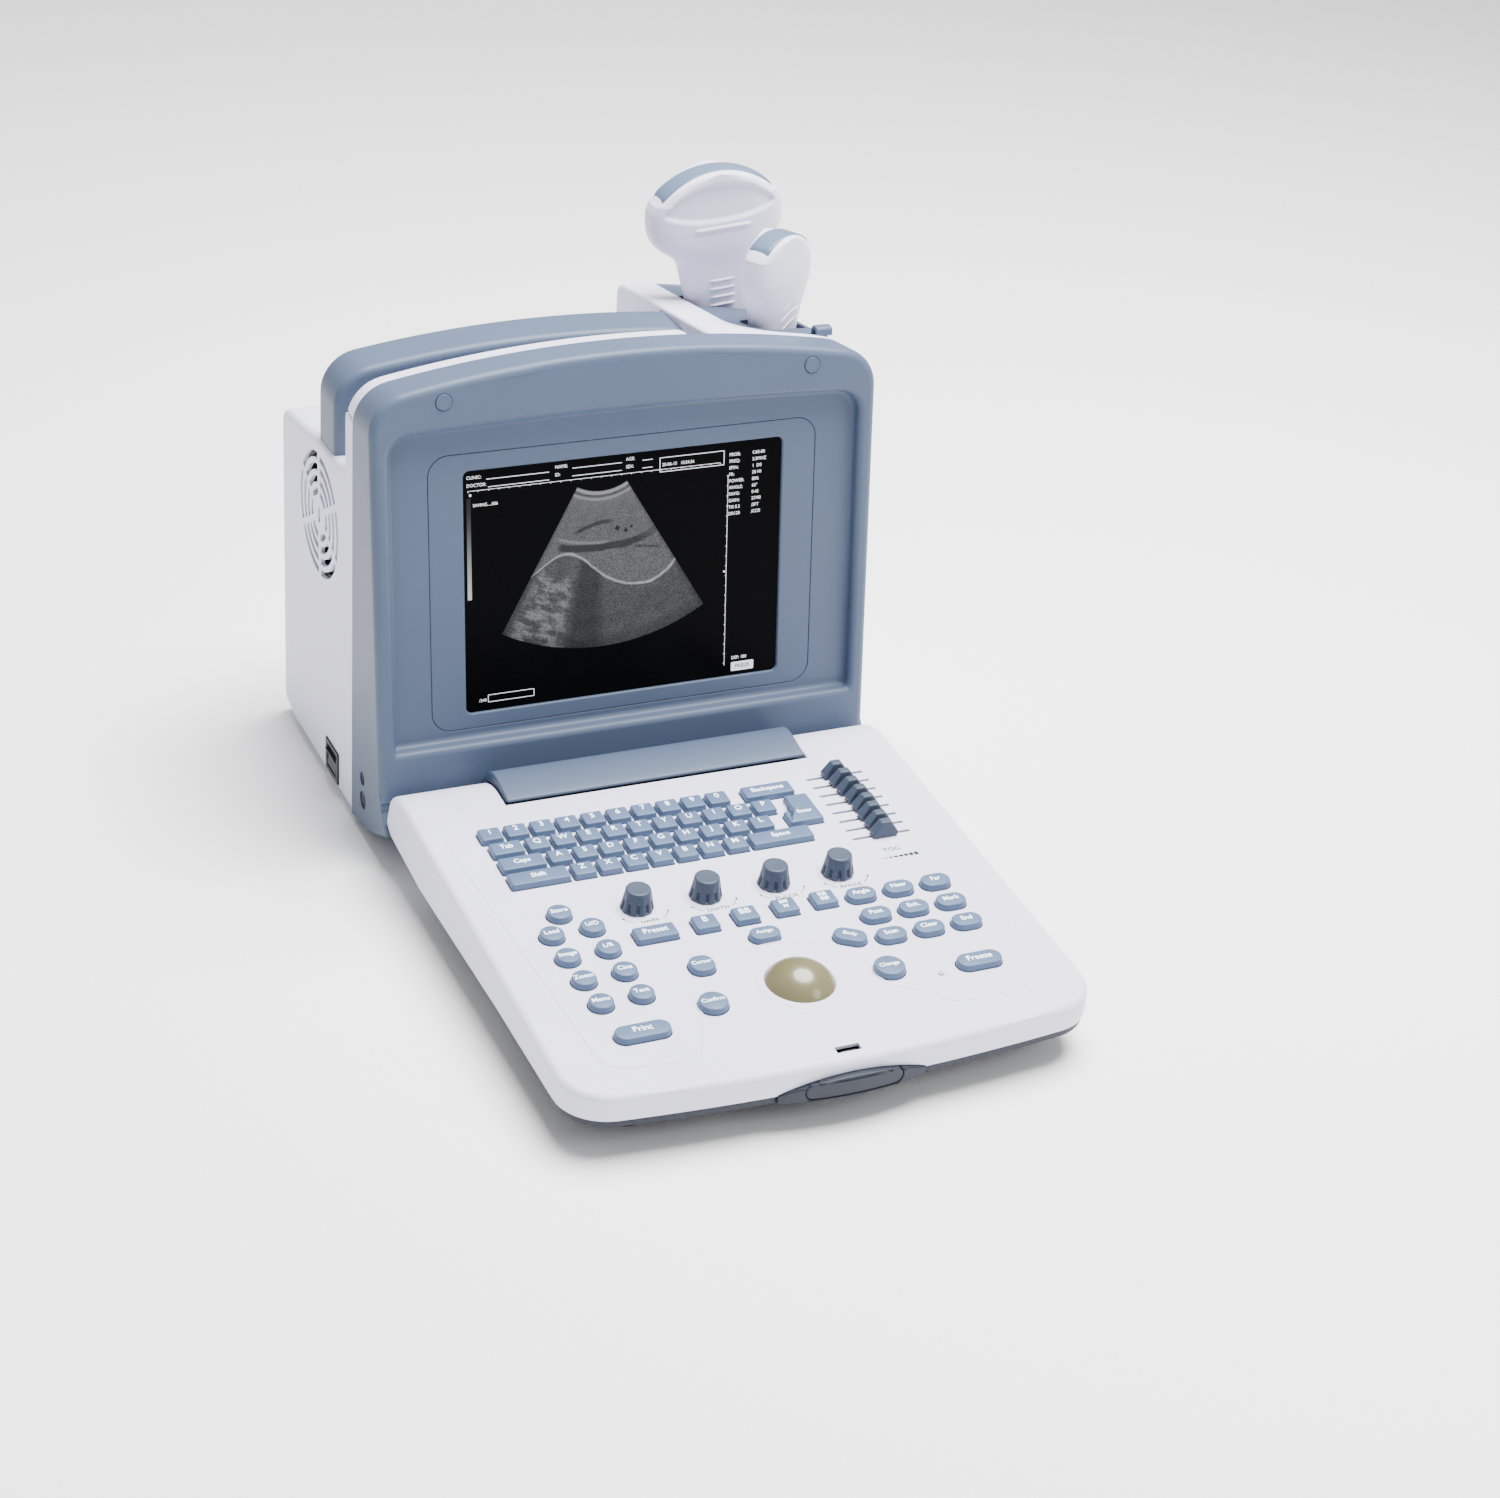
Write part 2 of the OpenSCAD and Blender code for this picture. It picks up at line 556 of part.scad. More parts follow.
module latch_button() color(dark_grey) on_panel() {
  intersection() {
    slab_y(-panel_length - 20, -314) translate([0, -15.2]) rounded(60, 10, 4.9);
    grip_bow(0.4);
  }
  translate([-5, -314 - eps, -16.4]) cube([10, 7.4, 2.6]);
  translate([-5, latch_y - 1.8, -16.4]) cube([10, 1.8, 15.2]);
}
module keyboard_board() color(green) on_panel() difference() {
  translate([-148, -290, -9.4]) cube([296, 250, 1.6]);
  translate([ball[0], ball[1], -20]) cylinder(h = 20, r = 32);
  for (x = knob_x) translate([x, knob_y, -20]) cylinder(h = 20, r = shaft_r + 0.6);
}
module keyboard_feet() color([0.13, 0.13, 0.14]) difference() {
  for (x = [-120, 120]) translate([x, -272, 0]) cylinder(h = 40, r = 11);
  on_panel() slab_x(-200, 200) polygon([[-panel_length, -21.7], [-300, -21.7], [-190, -25.7],
    [-190, 60], [-panel_length, 60]]);
}
module trackball_ring() color(white) on_panel() translate([ball[0], ball[1], 0]) difference() {
  union() {
    rotate_extrude($fn = 72) polygon([[19, -2.6], [ring_r - 1.8, -2.6], [ring_r - 1.8, 0.02], [ring_r, 0.02],
      [ring_r, 0.9], [ring_r - 1.6, 2.2], [22, 1.4], [20.9, 0.2], [19, 0.2]]);
    translate([0, 0, -22]) difference() {
      cylinder(h = 19.6, r = ring_r + 1.6);
      translate([0, 0, -1]) cylinder(h = 22, r = ring_r - 2.2);
    }
    translate([0, 0, -2.7]) difference() {
      cylinder(h = 0.6, r = ring_r - 1.8);
      translate([0, 0, -1]) cylinder(h = 3, r = 20);
    }
  }
  translate([0, 0, ball[2]]) sphere(ball_radius + 0.5, $fn = 96);
}
module trackball() color([0.74, 0.73, 0.58]) on_panel() translate(ball) sphere(ball_radius, $fn = 96);
module status_lamp() color([0.9, 0.9, 0.85]) on_panel()
  translate([82.1, -259.1, -4]) cylinder(h = 4.7, r = 1.7);

module digit_keys() color(key_blue) key_body(key_rise) digit_plan(0);
module letter_keys() color(key_blue) key_body(key_rise) letter_plan(0);
module wide_keys() color(key_blue) key_body(key_rise) wide_plan(0);
module enter_key() color(key_blue) key_body(key_rise) enter_plan(0);
module mode_keys() color(key_blue) key_body(key_rise) mode_plan(0);
module preset_key() color(key_blue) key_body(key_rise) preset_plan(0);
module round_keys() color(key_blue) key_body(key_rise) round_plan(0);
module print_key() color(key_blue) key_body(key_rise) print_plan(0);
module oval_keys() color(key_blue) key_body(key_rise) oval_plan(0);
module pointer_keys() color(key_blue) key_body(key_rise) pointer_plan(0);
module freeze_key() color(key_blue) key_body(key_rise) freeze_plan(0);

module dial(i) color([0.36, 0.4, 0.46]) on_panel() translate([knob_x[i], knob_y, 0]) difference() {
  union() {
    translate([0, 0, 0.6]) cylinder(h = 6.5, r1 = knob_r, r2 = knob_r - 1);
    translate([0, 0, 7]) cylinder(h = knob_h - 7, r1 = knob_r - 1.4, r2 = knob_r - 2.4);
    translate([0, 0, -8.4]) cylinder(h = 10, r = shaft_r);
  }
  for (a = [0 : 22.5 : 359]) rotate([0, 0, a]) translate([knob_r, 0, 0]) cylinder(h = 7.2, r = 0.9, $fn = 16);
}
module gain_knob() dial(0);
module depth_knob() dial(1);
module focus_knob() dial(2);
module angle_knob() dial(3);

module slider(i) color([0.36, 0.4, 0.46]) on_panel()
  translate([slider_at[i], slider_y0 - i * slider_step, 0]) {
    slab_y(-4.2, 4.2) polygon([[-8, 0.5], [8, 0.5], [8.6, 2.8], [3.2, 10.9], [-3.2, 10.9], [-8.6, 2.8]]);
    translate([-3, -0.7, -6]) cube([6, 1.4, 6.6]);
  }
module gain_slider_1() slider(0);
module gain_slider_2() slider(1);
module gain_slider_3() slider(2);
module gain_slider_4() slider(3);
module gain_slider_5() slider(4);
module gain_slider_6() slider(5);
module gain_slider_7() slider(6);
module gain_slider_8() slider(7);

// ---------- probes ----------
module head_plan() intersection() {
  union() {
    translate([0, 57]) circle(46.5);
    translate([0, 60]) square([92, 30], center = true);
  }
  translate([0, 28]) circle(59);
  translate([-60, 24]) square([120, 90]);
}
module at_a() translate(probe_a) children();
module convex_probe_body() color(white) at_a() difference() {
  union() {
    slab_y(-15, 15) intersection() {
      head_plan();
      translate([0, 26]) circle(56);
    }
    slab_y(-13, 13) polygon([[-34, 33], [-28.5, 28], [-25.5, 18], [-22, 0], [-19, -30], [19, -30], [22, 0],
      [25.5, 18], [28.5, 28], [34, 33]]);
  }
  slab_y(-8.6, 8.6) difference() {
    translate([-40, 40]) square([80, 60]);
    translate([0, 22]) circle(56);
  }
}
module convex_probe_lens() color([0.52, 0.6, 0.7]) at_a() slab_y(-8.5, 8.5) intersection() {
  difference() {
    translate([0, 28]) circle(59);
    translate([0, 22.1]) circle(56);
  }
  translate([-39.8, 40]) square([79.6, 60]);
}
module at_b() translate(probe_b) rotate([0, 0, probe_b_turn]) children();
module small_head() intersection() {
  union() {
    translate([0, 32]) circle(28);
    translate([0, 30]) square([55, 24], center = true);
  }
  translate([0, 27]) circle(33);
}
module small_probe_body() color(white) at_b() difference() {
  union() {
    slab_y(-12, 12) intersection() {
      small_head();
      translate([0, 24]) circle(33);
    }
    slab_y(-10, 10) polygon([[-26.5, 22], [-21.5, 4], [-19, -12], [-17, -34], [17, -34], [19, -12],
      [21.5, 4], [26.5, 22]]);
  }
  slab_y(-8.1, 8.1) difference() {
    translate([-22, 34]) square([44, 40]);
    translate([0, 22]) circle(32);
  }
}
module small_probe_lens() color([0.52, 0.6, 0.7]) at_b() slab_y(-8, 8) intersection() {
  difference() {
    translate([0, 27]) circle(33);
    translate([0, 22.1]) circle(32);
  }
  translate([-21.8, 34]) square([43.6, 40]);
}

translate([0, line_y, 0]) {
  rear_case();
  top_rim();
  front_bezel();
  screen_frame();
  screen_window();
  lcd_panel();
  carry_handle();
  probe_tray();
  cable_hook();
  fan_frame();
  fan_rotor();
  main_board();
  power_supply();
  switch_body();
  power_rocker();
  brightness_knob();
  contrast_knob();
  mains_inlet();
  probe_sockets();
  bumper_pads();
  body_feet();
  case_screws();
  hinge_cover();
  hinge_pins();
  keyboard_top();
  keyboard_base();
  front_grip();
  latch_button();
  keyboard_board();
  keyboard_feet();
  trackball_ring();
  trackball();
  status_lamp();
  digit_keys();
  letter_keys();
  wide_keys();
  enter_key();
  mode_keys();
  preset_key();
  round_keys();
  print_key();
  oval_keys();
  pointer_keys();
  freeze_key();
  gain_knob();
  depth_knob();
  focus_knob();
  angle_knob();
  gain_slider_1();
  gain_slider_2();
  gain_slider_3();
  gain_slider_4();
  gain_slider_5();
  gain_slider_6();
  gain_slider_7();
  gain_slider_8();
  convex_probe_body();
  convex_probe_lens();
  small_probe_body();
  small_probe_lens();
}
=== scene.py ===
import json
import math

import bmesh
import bpy
import numpy as np
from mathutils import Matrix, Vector

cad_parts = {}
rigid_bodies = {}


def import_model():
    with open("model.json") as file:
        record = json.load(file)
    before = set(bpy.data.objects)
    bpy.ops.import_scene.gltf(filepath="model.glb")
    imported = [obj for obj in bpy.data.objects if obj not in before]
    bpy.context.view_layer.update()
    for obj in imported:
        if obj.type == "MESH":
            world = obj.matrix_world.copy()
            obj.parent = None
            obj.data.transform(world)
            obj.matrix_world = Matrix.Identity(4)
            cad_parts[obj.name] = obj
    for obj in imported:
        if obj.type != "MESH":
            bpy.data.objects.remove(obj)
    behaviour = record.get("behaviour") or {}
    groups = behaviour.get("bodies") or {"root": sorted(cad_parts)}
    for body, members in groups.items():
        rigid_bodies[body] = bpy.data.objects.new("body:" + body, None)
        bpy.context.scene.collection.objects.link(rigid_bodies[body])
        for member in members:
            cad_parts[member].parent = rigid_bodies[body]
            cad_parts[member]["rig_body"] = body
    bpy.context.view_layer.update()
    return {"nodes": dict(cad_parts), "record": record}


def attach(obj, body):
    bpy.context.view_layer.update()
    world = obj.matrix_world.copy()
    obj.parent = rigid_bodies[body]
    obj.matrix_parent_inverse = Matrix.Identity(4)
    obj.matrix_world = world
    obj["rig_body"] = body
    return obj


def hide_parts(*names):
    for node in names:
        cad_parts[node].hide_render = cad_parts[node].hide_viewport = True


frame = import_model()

mm = 0.001
lineY = 40.0                    # the keyboard line lies this far behind the origin, in mm
desk = {"slope": math.radians(3.8), "height": 62.0}
screen = {"lean": math.radians(6.07), "y": 36.86, "z": 64.45, "middle": 106.0}


# places given on the sloping keyboard (across, up the slope, above it), in mm, turned into the frame
def fromDesk(points):
    x, y, z = np.asarray(points, float).reshape(-1, 3).T
    c, s = math.cos(desk["slope"]), math.sin(desk["slope"])
    return np.stack([x, lineY + y * c - z * s, desk["height"] + y * s + z * c], 1) * mm


def toDesk(points):
    x, y, z = (np.asarray(points, float).reshape(-1, 3) / mm).T
    c, s = math.cos(desk["slope"]), math.sin(desk["slope"])
    y, z = y - lineY, z - desk["height"]
    return np.stack([x, y * c + z * s, z * c - y * s], 1)


# places given on the glass (across, behind it, up it), in mm, and back
def fromScreen(points):
    x, n, w = np.asarray(points, float).reshape(-1, 3).T
    c, s = math.cos(screen["lean"]), math.sin(screen["lean"])
    return np.stack([x, lineY + screen["y"] + n * c + w * s, screen["z"] + w * c - n * s], 1) * mm


def toScreen(points):
    x, y, z = (np.asarray(points, float).reshape(-1, 3) / mm).T
    c, s = math.cos(screen["lean"]), math.sin(screen["lean"])
    y, z = y - lineY - screen["y"], z - screen["z"]
    return np.stack([x, y * c - z * s, y * s + z * c], 1)


def upright(points):            # plain millimetres counted from the keyboard line
    return (np.asarray(points, float).reshape(-1, 3) + [0, lineY, 0]) * mm


# ---- finishes ----
class Wire:                     # one output of a node tree; sums on it become Math nodes
    def __init__(self, finish, socket):
        self.finish, self.socket = finish, socket

    def maths(self, operation, *terms):
        return self.finish.node("ShaderNodeMath", {"operation": operation}, terms)

    def __add__(self, other):
        return self.maths("ADD", self, other)

    def __sub__(self, other):
        return self.maths("SUBTRACT", self, other)

    def __rsub__(self, other):
        return self.maths("SUBTRACT", other, self)

    def __mul__(self, other):
        return self.maths("MULTIPLY", self, other)

    def __truediv__(self, other):
        return self.maths("DIVIDE", self, other)

    def __abs__(self):
        return self.maths("ABSOLUTE", self)

    __radd__ = __add__
    __rmul__ = __mul__

    def atLeast(self, other):
        return self.maths("MAXIMUM", self, other)

    def atMost(self, other):
        return self.maths("MINIMUM", self, other)

    def step(self, low, high):  # 0 below low, 1 above high, smooth between
        return self.finish.node("ShaderNodeMapRange", {"interpolation_type": "SMOOTHSTEP", "clamp": True},
                                {"Value": self, "From Min": low, "From Max": high})


class Finish:                   # a material; node() adds any node and hands back one of its outputs
    def __init__(self, name, **values):
        self.material = bpy.data.materials.new(name)
        self.material.use_nodes = True
        self.tree = self.material.node_tree
        self.shader = self.tree.nodes["Principled BSDF"]
        for socket, value in values.items():
            self.set(socket, value)

    def node(self, kind, settings=None, inputs=(), output=0):
        made = self.tree.nodes.new(kind)
        for key, value in (settings or {}).items():
            if key == "stops":
                for index, (place, colour) in enumerate(value):
                    stops = made.color_ramp.elements
                    stop = stops[index] if index < len(stops) else stops.new(place)
                    stop.position, stop.color = place, colour
            else:
                setattr(made, key, value)
        for key, value in inputs.items() if isinstance(inputs, dict) else enumerate(inputs):
            if isinstance(value, Wire):
                self.tree.links.new(value.socket, made.inputs[key])
            else:
                made.inputs[key].default_value = value
        return Wire(self, made.outputs[output])

    def set(self, socket, value):
        socket = socket.replace("_", " ")
        if isinstance(value, Wire):
            self.tree.links.new(value.socket, self.shader.inputs[socket])
        else:
            self.shader.inputs[socket].default_value = value

    def place(self):
        return self.node("ShaderNodeTexCoord", output="Object")

    def noise(self, where, scale, detail=2.0, roughness=0.5):
        return self.node("ShaderNodeTexNoise", {"noise_dimensions": "3D"},
                         {"Vector": where, "Scale": scale, "Detail": detail, "Roughness": roughness})

    def mix(self, amount, first, second):
        return self.node("ShaderNodeMix", {"data_type": "RGBA"}, {0: amount, 6: first, 7: second}, 2)

    def bump(self, height, strength, distance):
        return self.node("ShaderNodeBump", None,
                         {"Height": height, "Strength": strength, "Distance": distance})


def shade(colour, factor):
    return tuple(min(1.0, c * factor) for c in colour[:3]) + (1.0,)


# moulded plastic: two tones in broad soft patches, a fine spark-eroded grain, a gloss that varies a little
def plastic(name, colour, roughness, grain=0.12, grainSize=0.5, drift=0.05, coat=0.0):
    finish = Finish(name, IOR=1.48, Specular_IOR_Level=0.28)
    where = finish.place()
    patches = finish.noise(where, 14.0, 3.0)
    finish.set("Base Color", finish.mix(patches, shade(colour, 1 - drift), shade(colour, 1 + drift)))
    skin = finish.noise(where, 1000 / grainSize, 2.0, 0.6)
    finish.set("Roughness", roughness - 0.05 + 0.06 * finish.noise(where, 45.0) + 0.05 * skin)
    finish.set("Normal", finish.bump(skin, grain, 0.00012))
    finish.set("Coat Weight", coat)
    return finish


def metal(name, colour, roughness):
    finish = Finish(name, Metallic=1.0)
    where = finish.node("ShaderNodeMapping", None, {"Vector": finish.place(), "Scale": (30, 900, 900)})
    brushed = finish.noise(where, 1.0, 3.0)
    finish.set("Base Color", finish.mix(brushed, shade(colour, 0.86), shade(colour, 1.08)))
    finish.set("Roughness", roughness + 0.12 * brushed)
    finish.set("Normal", finish.bump(brushed, 0.15, 0.0001))
    return finish


def circuitBoard(name, colour):
    finish = Finish(name, Roughness=0.45)
    where = finish.place()
    cells = finish.node("ShaderNodeTexVoronoi", {"distance": "CHEBYCHEV"}, {"Vector": where, "Scale": 170.0})
    tracks = cells.step(0.28, 0.32)
    finish.set("Base Color", finish.mix(tracks, shade(colour, 1.0), shade(colour, 0.55)))
    finish.set("Normal", finish.bump(tracks, 0.3, 0.0002))
    return finish


# glossy ball: a cloudy cast colour under a clear skin
def castBall(name, colour):
    finish = Finish(name, Coat_Roughness=0.06, IOR=1.5)
    cloud = finish.noise(finish.place(), 60.0, 3.0)
    finish.set("Base Color", finish.mix(cloud, shade(colour, 0.95), shade(colour, 1.05)))
    finish.set("Roughness", 0.24 + 0.06 * cloud)
    finish.set("Coat Weight", 0.35)
    return finish


def darkGlass(name):
    finish = Finish(name, IOR=1.5, Specular_IOR_Level=0.02)
    smear = finish.noise(finish.place(), 18.0, 3.0)
    finish.set("Base Color", finish.mix(smear, (0.0005, 0.0005, 0.0007, 1), (0.0015, 0.0015, 0.002, 1)))
    finish.set("Roughness", 0.16 + 0.12 * smear)
    return finish


def inked(name, colour, glow=0.0):
    finish = plastic(name, colour, 0.5, grain=0.05, drift=0.06)
    if glow:
        finish.set("Emission Color", (*colour, 1.0))
        finish.set("Emission Strength", glow)
    return finish


finishes = {
    "white_plastic": plastic("white case plastic", (0.70, 0.69, 0.83), 0.46),
    "blue_grey_plastic": plastic("blue-grey case plastic", (0.068, 0.094, 0.148), 0.44, drift=0.06),
    "key_blue": plastic("key plastic", (0.085, 0.130, 0.215), 0.4, grain=0.08, grainSize=0.35),
    "knob_grey": plastic("knob plastic", (0.045, 0.060, 0.090), 0.42, grain=0.1),
    "dark_grey_plastic": plastic("dark base plastic", (0.017, 0.021, 0.033), 0.5, grain=0.2),
    "black_plastic": plastic("black plastic", (0.012, 0.012, 0.014), 0.36, grain=0.15),
    "foot_rubber": plastic("foot rubber", (0.016, 0.016, 0.018), 0.82, grain=0.5, grainSize=0.9, drift=0.12),
    "bright_steel": metal("brushed steel", (0.4, 0.41, 0.43), 0.26),
    "circuit_board": circuitBoard("green circuit board", (0.01, 0.07, 0.03)),
    "screen_glass": darkGlass("display glass"),
    "ball_ivory": castBall("ivory ball", (0.135, 0.122, 0.058)),
    "lamp_lens": castBall("clear lamp", (0.5, 0.52, 0.45)),
    "probe_lens": plastic("acoustic lens", (0.10, 0.14, 0.215), 0.38, grain=0.04, drift=0.04)}
# the white ink on the keys glows with painted brightness, though the keys hold no lamp; the lit lettering glows
# as the lit display does
inks = {"white": inked("white ink with painted glow", (0.9, 0.93, 0.98), glow=0.9),
        "grey": inked("grey ink", (0.02, 0.02, 0.03)),
        "lit": inked("lit lettering", (0.62, 0.64, 0.66), glow=0.8)}
slots = {part["node"]: part["material_slot"] for part in frame["record"]["subparts"]}
for nodeName, nodeObject in frame["nodes"].items():
    nodeObject.data.materials.clear()
    nodeObject.data.materials.append(finishes[slots[nodeName]].material)
print("finishes:", len(bpy.data.materials))


# ---- mesh helpers ----
# quads between neighbouring rows and columns of a grid, the last column joined to the first when closed
def gridFaces(rows, columns, closed=True):
    i = np.arange(rows - 1)[:, None] * columns
    j = np.arange(columns if closed else columns - 1)[None, :]
    k = (j + 1) % columns
    return np.stack([i + j, i + k, i + k + columns, i + j + columns], -1).reshape(-1, 4).tolist()


# stacked rings, each running anticlockwise seen from the last ring, closed by a lid at both ends
def loft(rings):
    rows, columns = rings.shape[:2]
    lids = [list(range(columns))[::-1], list(range((rows - 1) * columns, rows * columns))]
    return rings.reshape(-1, 3), gridFaces(rows, columns) + lids


def joined(parts):
    points, faces, start = [], [], 0
    for somePoints, someFaces in parts:
        points.append(np.asarray(somePoints))
        faces += [[index + start for index in face] for face in someFaces]
        start += len(somePoints)
    return np.concatenate(points), faces


def shifted(part, x, y, z, degrees=0.0):
    points, faces = part
    a = math.radians(degrees)
    spin = np.array([[math.cos(a), math.sin(a), 0], [-math.sin(a), math.cos(a), 0], [0, 0, 1]])
    return points @ spin + [x, y, z], faces


def onDesk(parts):
    points, faces = joined(parts)
    return fromDesk(points), faces


# superellipse |x/a|^n + |y/b|^n = 1, as count points anticlockwise
def superRing(a, b, power, count):
    turn = np.linspace(0, 2 * np.pi, count, endpoint=False)
    c, s = np.cos(turn), np.sin(turn)
    return np.stack([a * np.sign(c) * np.abs(c) ** (2 / power), b * np.sign(s) * np.abs(s) ** (2 / power)], -1)


# rectangle with a quarter circle at each corner, anticlockwise
def roundedBox(w, h, r, steps=7):
    quarter = np.linspace(0, np.pi / 2, steps)
    turns = quarter[None, :] + np.arange(4)[:, None] * np.pi / 2
    centres = np.array([[1, 1], [-1, 1], [-1, -1], [1, -1]]) * [w / 2 - r, h / 2 - r]
    ring = centres[:, None, :] + r * np.stack([np.cos(turns), np.sin(turns)], -1)
    return ring.reshape(-1, 2)


# each corner of a line swapped for a parabola that leaves and meets its two sides at the given reach
def filleted(corners, reach, steps=7, closed=True):
    corner = np.asarray(corners, float)
    before, after = np.roll(corner, 1, 0) - corner, np.roll(corner, -1, 0) - corner
    sizeBefore, sizeAfter = np.linalg.norm(before, axis=1), np.linalg.norm(after, axis=1)
    short = np.minimum(np.minimum(reach, sizeBefore * 0.48), sizeAfter * 0.48)
    start = corner + before * (short / sizeBefore)[:, None]
    end = corner + after * (short / sizeAfter)[:, None]
    t = np.linspace(0, 1, steps)[None, :, None]
    bend = (1 - t) ** 2 * start[:, None] + 2 * t * (1 - t) * corner[:, None] + t ** 2 * end[:, None]
    if closed:
        return bend.reshape(-1, 2)
    return np.concatenate([corner[:1], bend[1:-1].reshape(-1, 2), corner[-1:]])


# unit normals on the right-hand side of a closed line
def outward(line):
    along = np.roll(line, -1, 0) - np.roll(line, 1, 0)
    along /= np.linalg.norm(along, axis=1)[:, None]
    return np.stack([along[:, 1], -along[:, 0]], -1)


# a closed outline carried up through (inset, height) steps
def stepped(outline, steps):
    side = outward(outline)
    return np.stack([np.column_stack([outline - side * inset, np.full(len(outline), height)])
                     for inset, height in steps])


# steps of a quarter round of the given radius that ends flat at the given inset and height
def roundedTop(inset, height, radius, count=5):
    turn = np.linspace(0, np.pi / 2, count)
    return [(inset + radius * (1 - math.cos(t)), height - radius * (1 - math.sin(t))) for t in turn]


# a flat-bottomed bead along an open line: half an ellipse of the given width and height at each point
def bead(line, width, height, z=0.0, count=7):
    line = np.asarray(line, float)
    along = np.gradient(line, axis=0)
    along /= np.linalg.norm(along, axis=1)[:, None]
    side = np.stack([along[:, 1], -along[:, 0]], -1)
    turn = np.linspace(0, np.pi, count)
    fade = np.clip(np.minimum(np.arange(len(line)), np.arange(len(line))[::-1]) / 2.0, 0.15, 1)[:, None]
    across, up = np.cos(turn)[None, :] * width / 2 * fade, np.sin(turn)[None, :] * height * fade
    rings = np.concatenate([line[:, None] + side[:, None] * across[..., None], z + up[..., None]], -1)
    return loft(rings[:, ::-1])


# a profile of (radius, height) turned round the upright axis
def turned(profile, count=72, flute=None):
    profile = np.asarray(profile, float)
    turn = np.linspace(0, 2 * np.pi, count, endpoint=False)
    radius = profile[:, :1] + np.zeros(count)
    if flute is not None:
        radius = radius - flute(profile[:, 1:2], turn[None, :])
    height = profile[:, 1:2] + np.zeros(count)
    return loft(np.stack([radius * np.cos(turn), radius * np.sin(turn), height], -1))


# the same without lids, for a profile that comes back to its start
def turnedLoop(profile, count):
    return turned(profile + profile[:1], count)[0], gridFaces(len(profile) + 1, count)


# one property of all vertices, edges, faces or corners as an array
def pulled(items, key, width=1, kind=float):
    values = np.empty(len(items) * width, kind)
    items.foreach_get(key, values)
    return values.reshape(-1, width) if width > 1 else values


def addPiece(name, part, body, slot, nodes=(), finish=None, smooth=35, weld=False):
    points, faces = part
    mesh = bpy.data.meshes.new(name)
    mesh.from_pydata(np.asarray(points).tolist(), [], faces)
    if weld:
        skin = bmesh.new()
        skin.from_mesh(mesh)
        bmesh.ops.remove_doubles(skin, verts=skin.verts, dist=2e-6)
        bmesh.ops.recalc_face_normals(skin, faces=skin.faces)
        skin.to_mesh(mesh)
        skin.free()
    mesh.materials.append((finish or finishes[slot]).material)
    mesh.polygons.foreach_set("use_smooth", np.ones(len(mesh.polygons), bool))
    mesh.set_sharp_from_angle(angle=math.radians(smooth))
    return place(bpy.data.objects.new(name, mesh), body, slot, nodes)


def place(piece, body, slot, nodes=()):
    bpy.context.scene.collection.objects.link(piece)
    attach(piece, body)
    if nodes:
        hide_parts(*nodes)
    return piece


# A copy of a CAD skin with its doubles merged and its flat triangles joined. widths(middles, *normals)
# gives each crease its rounding in mm, and reshape(points) may move the points first.
def softened(node, widths, segments=3, reshape=None, crease=24):
    source = frame["nodes"][node]
    mesh = source.data.copy()
    mesh.name = node + "_soft"
    skin = bmesh.new()
    skin.from_mesh(mesh)
    bmesh.ops.remove_doubles(skin, verts=skin.verts, dist=3e-6)
    bmesh.ops.dissolve_limit(skin, angle_limit=math.radians(0.12), verts=skin.verts, edges=skin.edges)
    skin.to_mesh(mesh)
    skin.free()
    points = pulled(mesh.vertices, "co", 3)
    if reshape is not None:
        points = reshape(points)
        mesh.vertices.foreach_set("co", points.ravel())
        mesh.update()
    middles = points[pulled(mesh.edges, "vertices", 2, int)].mean(1)
    normals = pulled(mesh.polygons, "normal", 3)
    sizes = pulled(mesh.polygons, "loop_total", 1, int)
    edgeOf = pulled(mesh.loops, "edge_index", 1, int)
    order = np.argsort(edgeOf, kind="stable")
    edgeOf, faceOf = edgeOf[order], np.repeat(np.arange(len(sizes)), sizes)[order]
    pair = np.flatnonzero(edgeOf[:-1] == edgeOf[1:])
    edge, one, other = edgeOf[pair], faceOf[pair], faceOf[pair + 1]
    bent = (normals[one] * normals[other]).sum(1) < math.cos(math.radians(crease))
    edge, one, other = edge[bent], one[bent], other[bent]
    given = np.asarray(widths(middles[edge], normals[one], normals[other]), float)
    widest = max(given.max(), 0.01)
    weight = np.zeros(len(mesh.edges), np.float32)
    weight[edge] = given / widest
    sharp = np.zeros(len(mesh.edges), bool)
    sharp[edge] = given <= 0
    mesh.attributes.new("bevel_weight_edge", "FLOAT", "EDGE").data.foreach_set("value", weight)
    old = mesh.attributes.get("sharp_edge") or mesh.attributes.new("sharp_edge", "BOOLEAN", "EDGE")
    old.data.foreach_set("value", sharp)
    mesh.polygons.foreach_set("use_smooth", np.ones(len(mesh.polygons), bool))
    mesh.materials.clear()
    mesh.materials.append(finishes[slots[node]].material)
    piece = bpy.data.objects.new(node + "_soft", mesh)
    place(piece, source["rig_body"], slots[node], [node])
    rounding = piece.modifiers.new("rounded creases", "BEVEL")
    rounding.limit_method = "WEIGHT"
    rounding.width = widest * mm
    rounding.segments = segments
    rounding.use_clamp_overlap = False
    rounding.loop_slide = False
    evened = piece.modifiers.new("even normals", "WEIGHTED_NORMAL")
    evened.keep_sharp = True
    return piece


# ---- main unit ----
caseLook = {"outer": 5.0, "hump": 2.5, "openings": 0.5, "seam": 0.5}
halfWide = 167.0
fanPlace = {"y": 155.0, "z": 184.0, "reach": 44.0}
switchPlace = {"y": 125.0, "z": 21.0}
deckZ, humpX, backY = 236.0, 64.0, 240.0


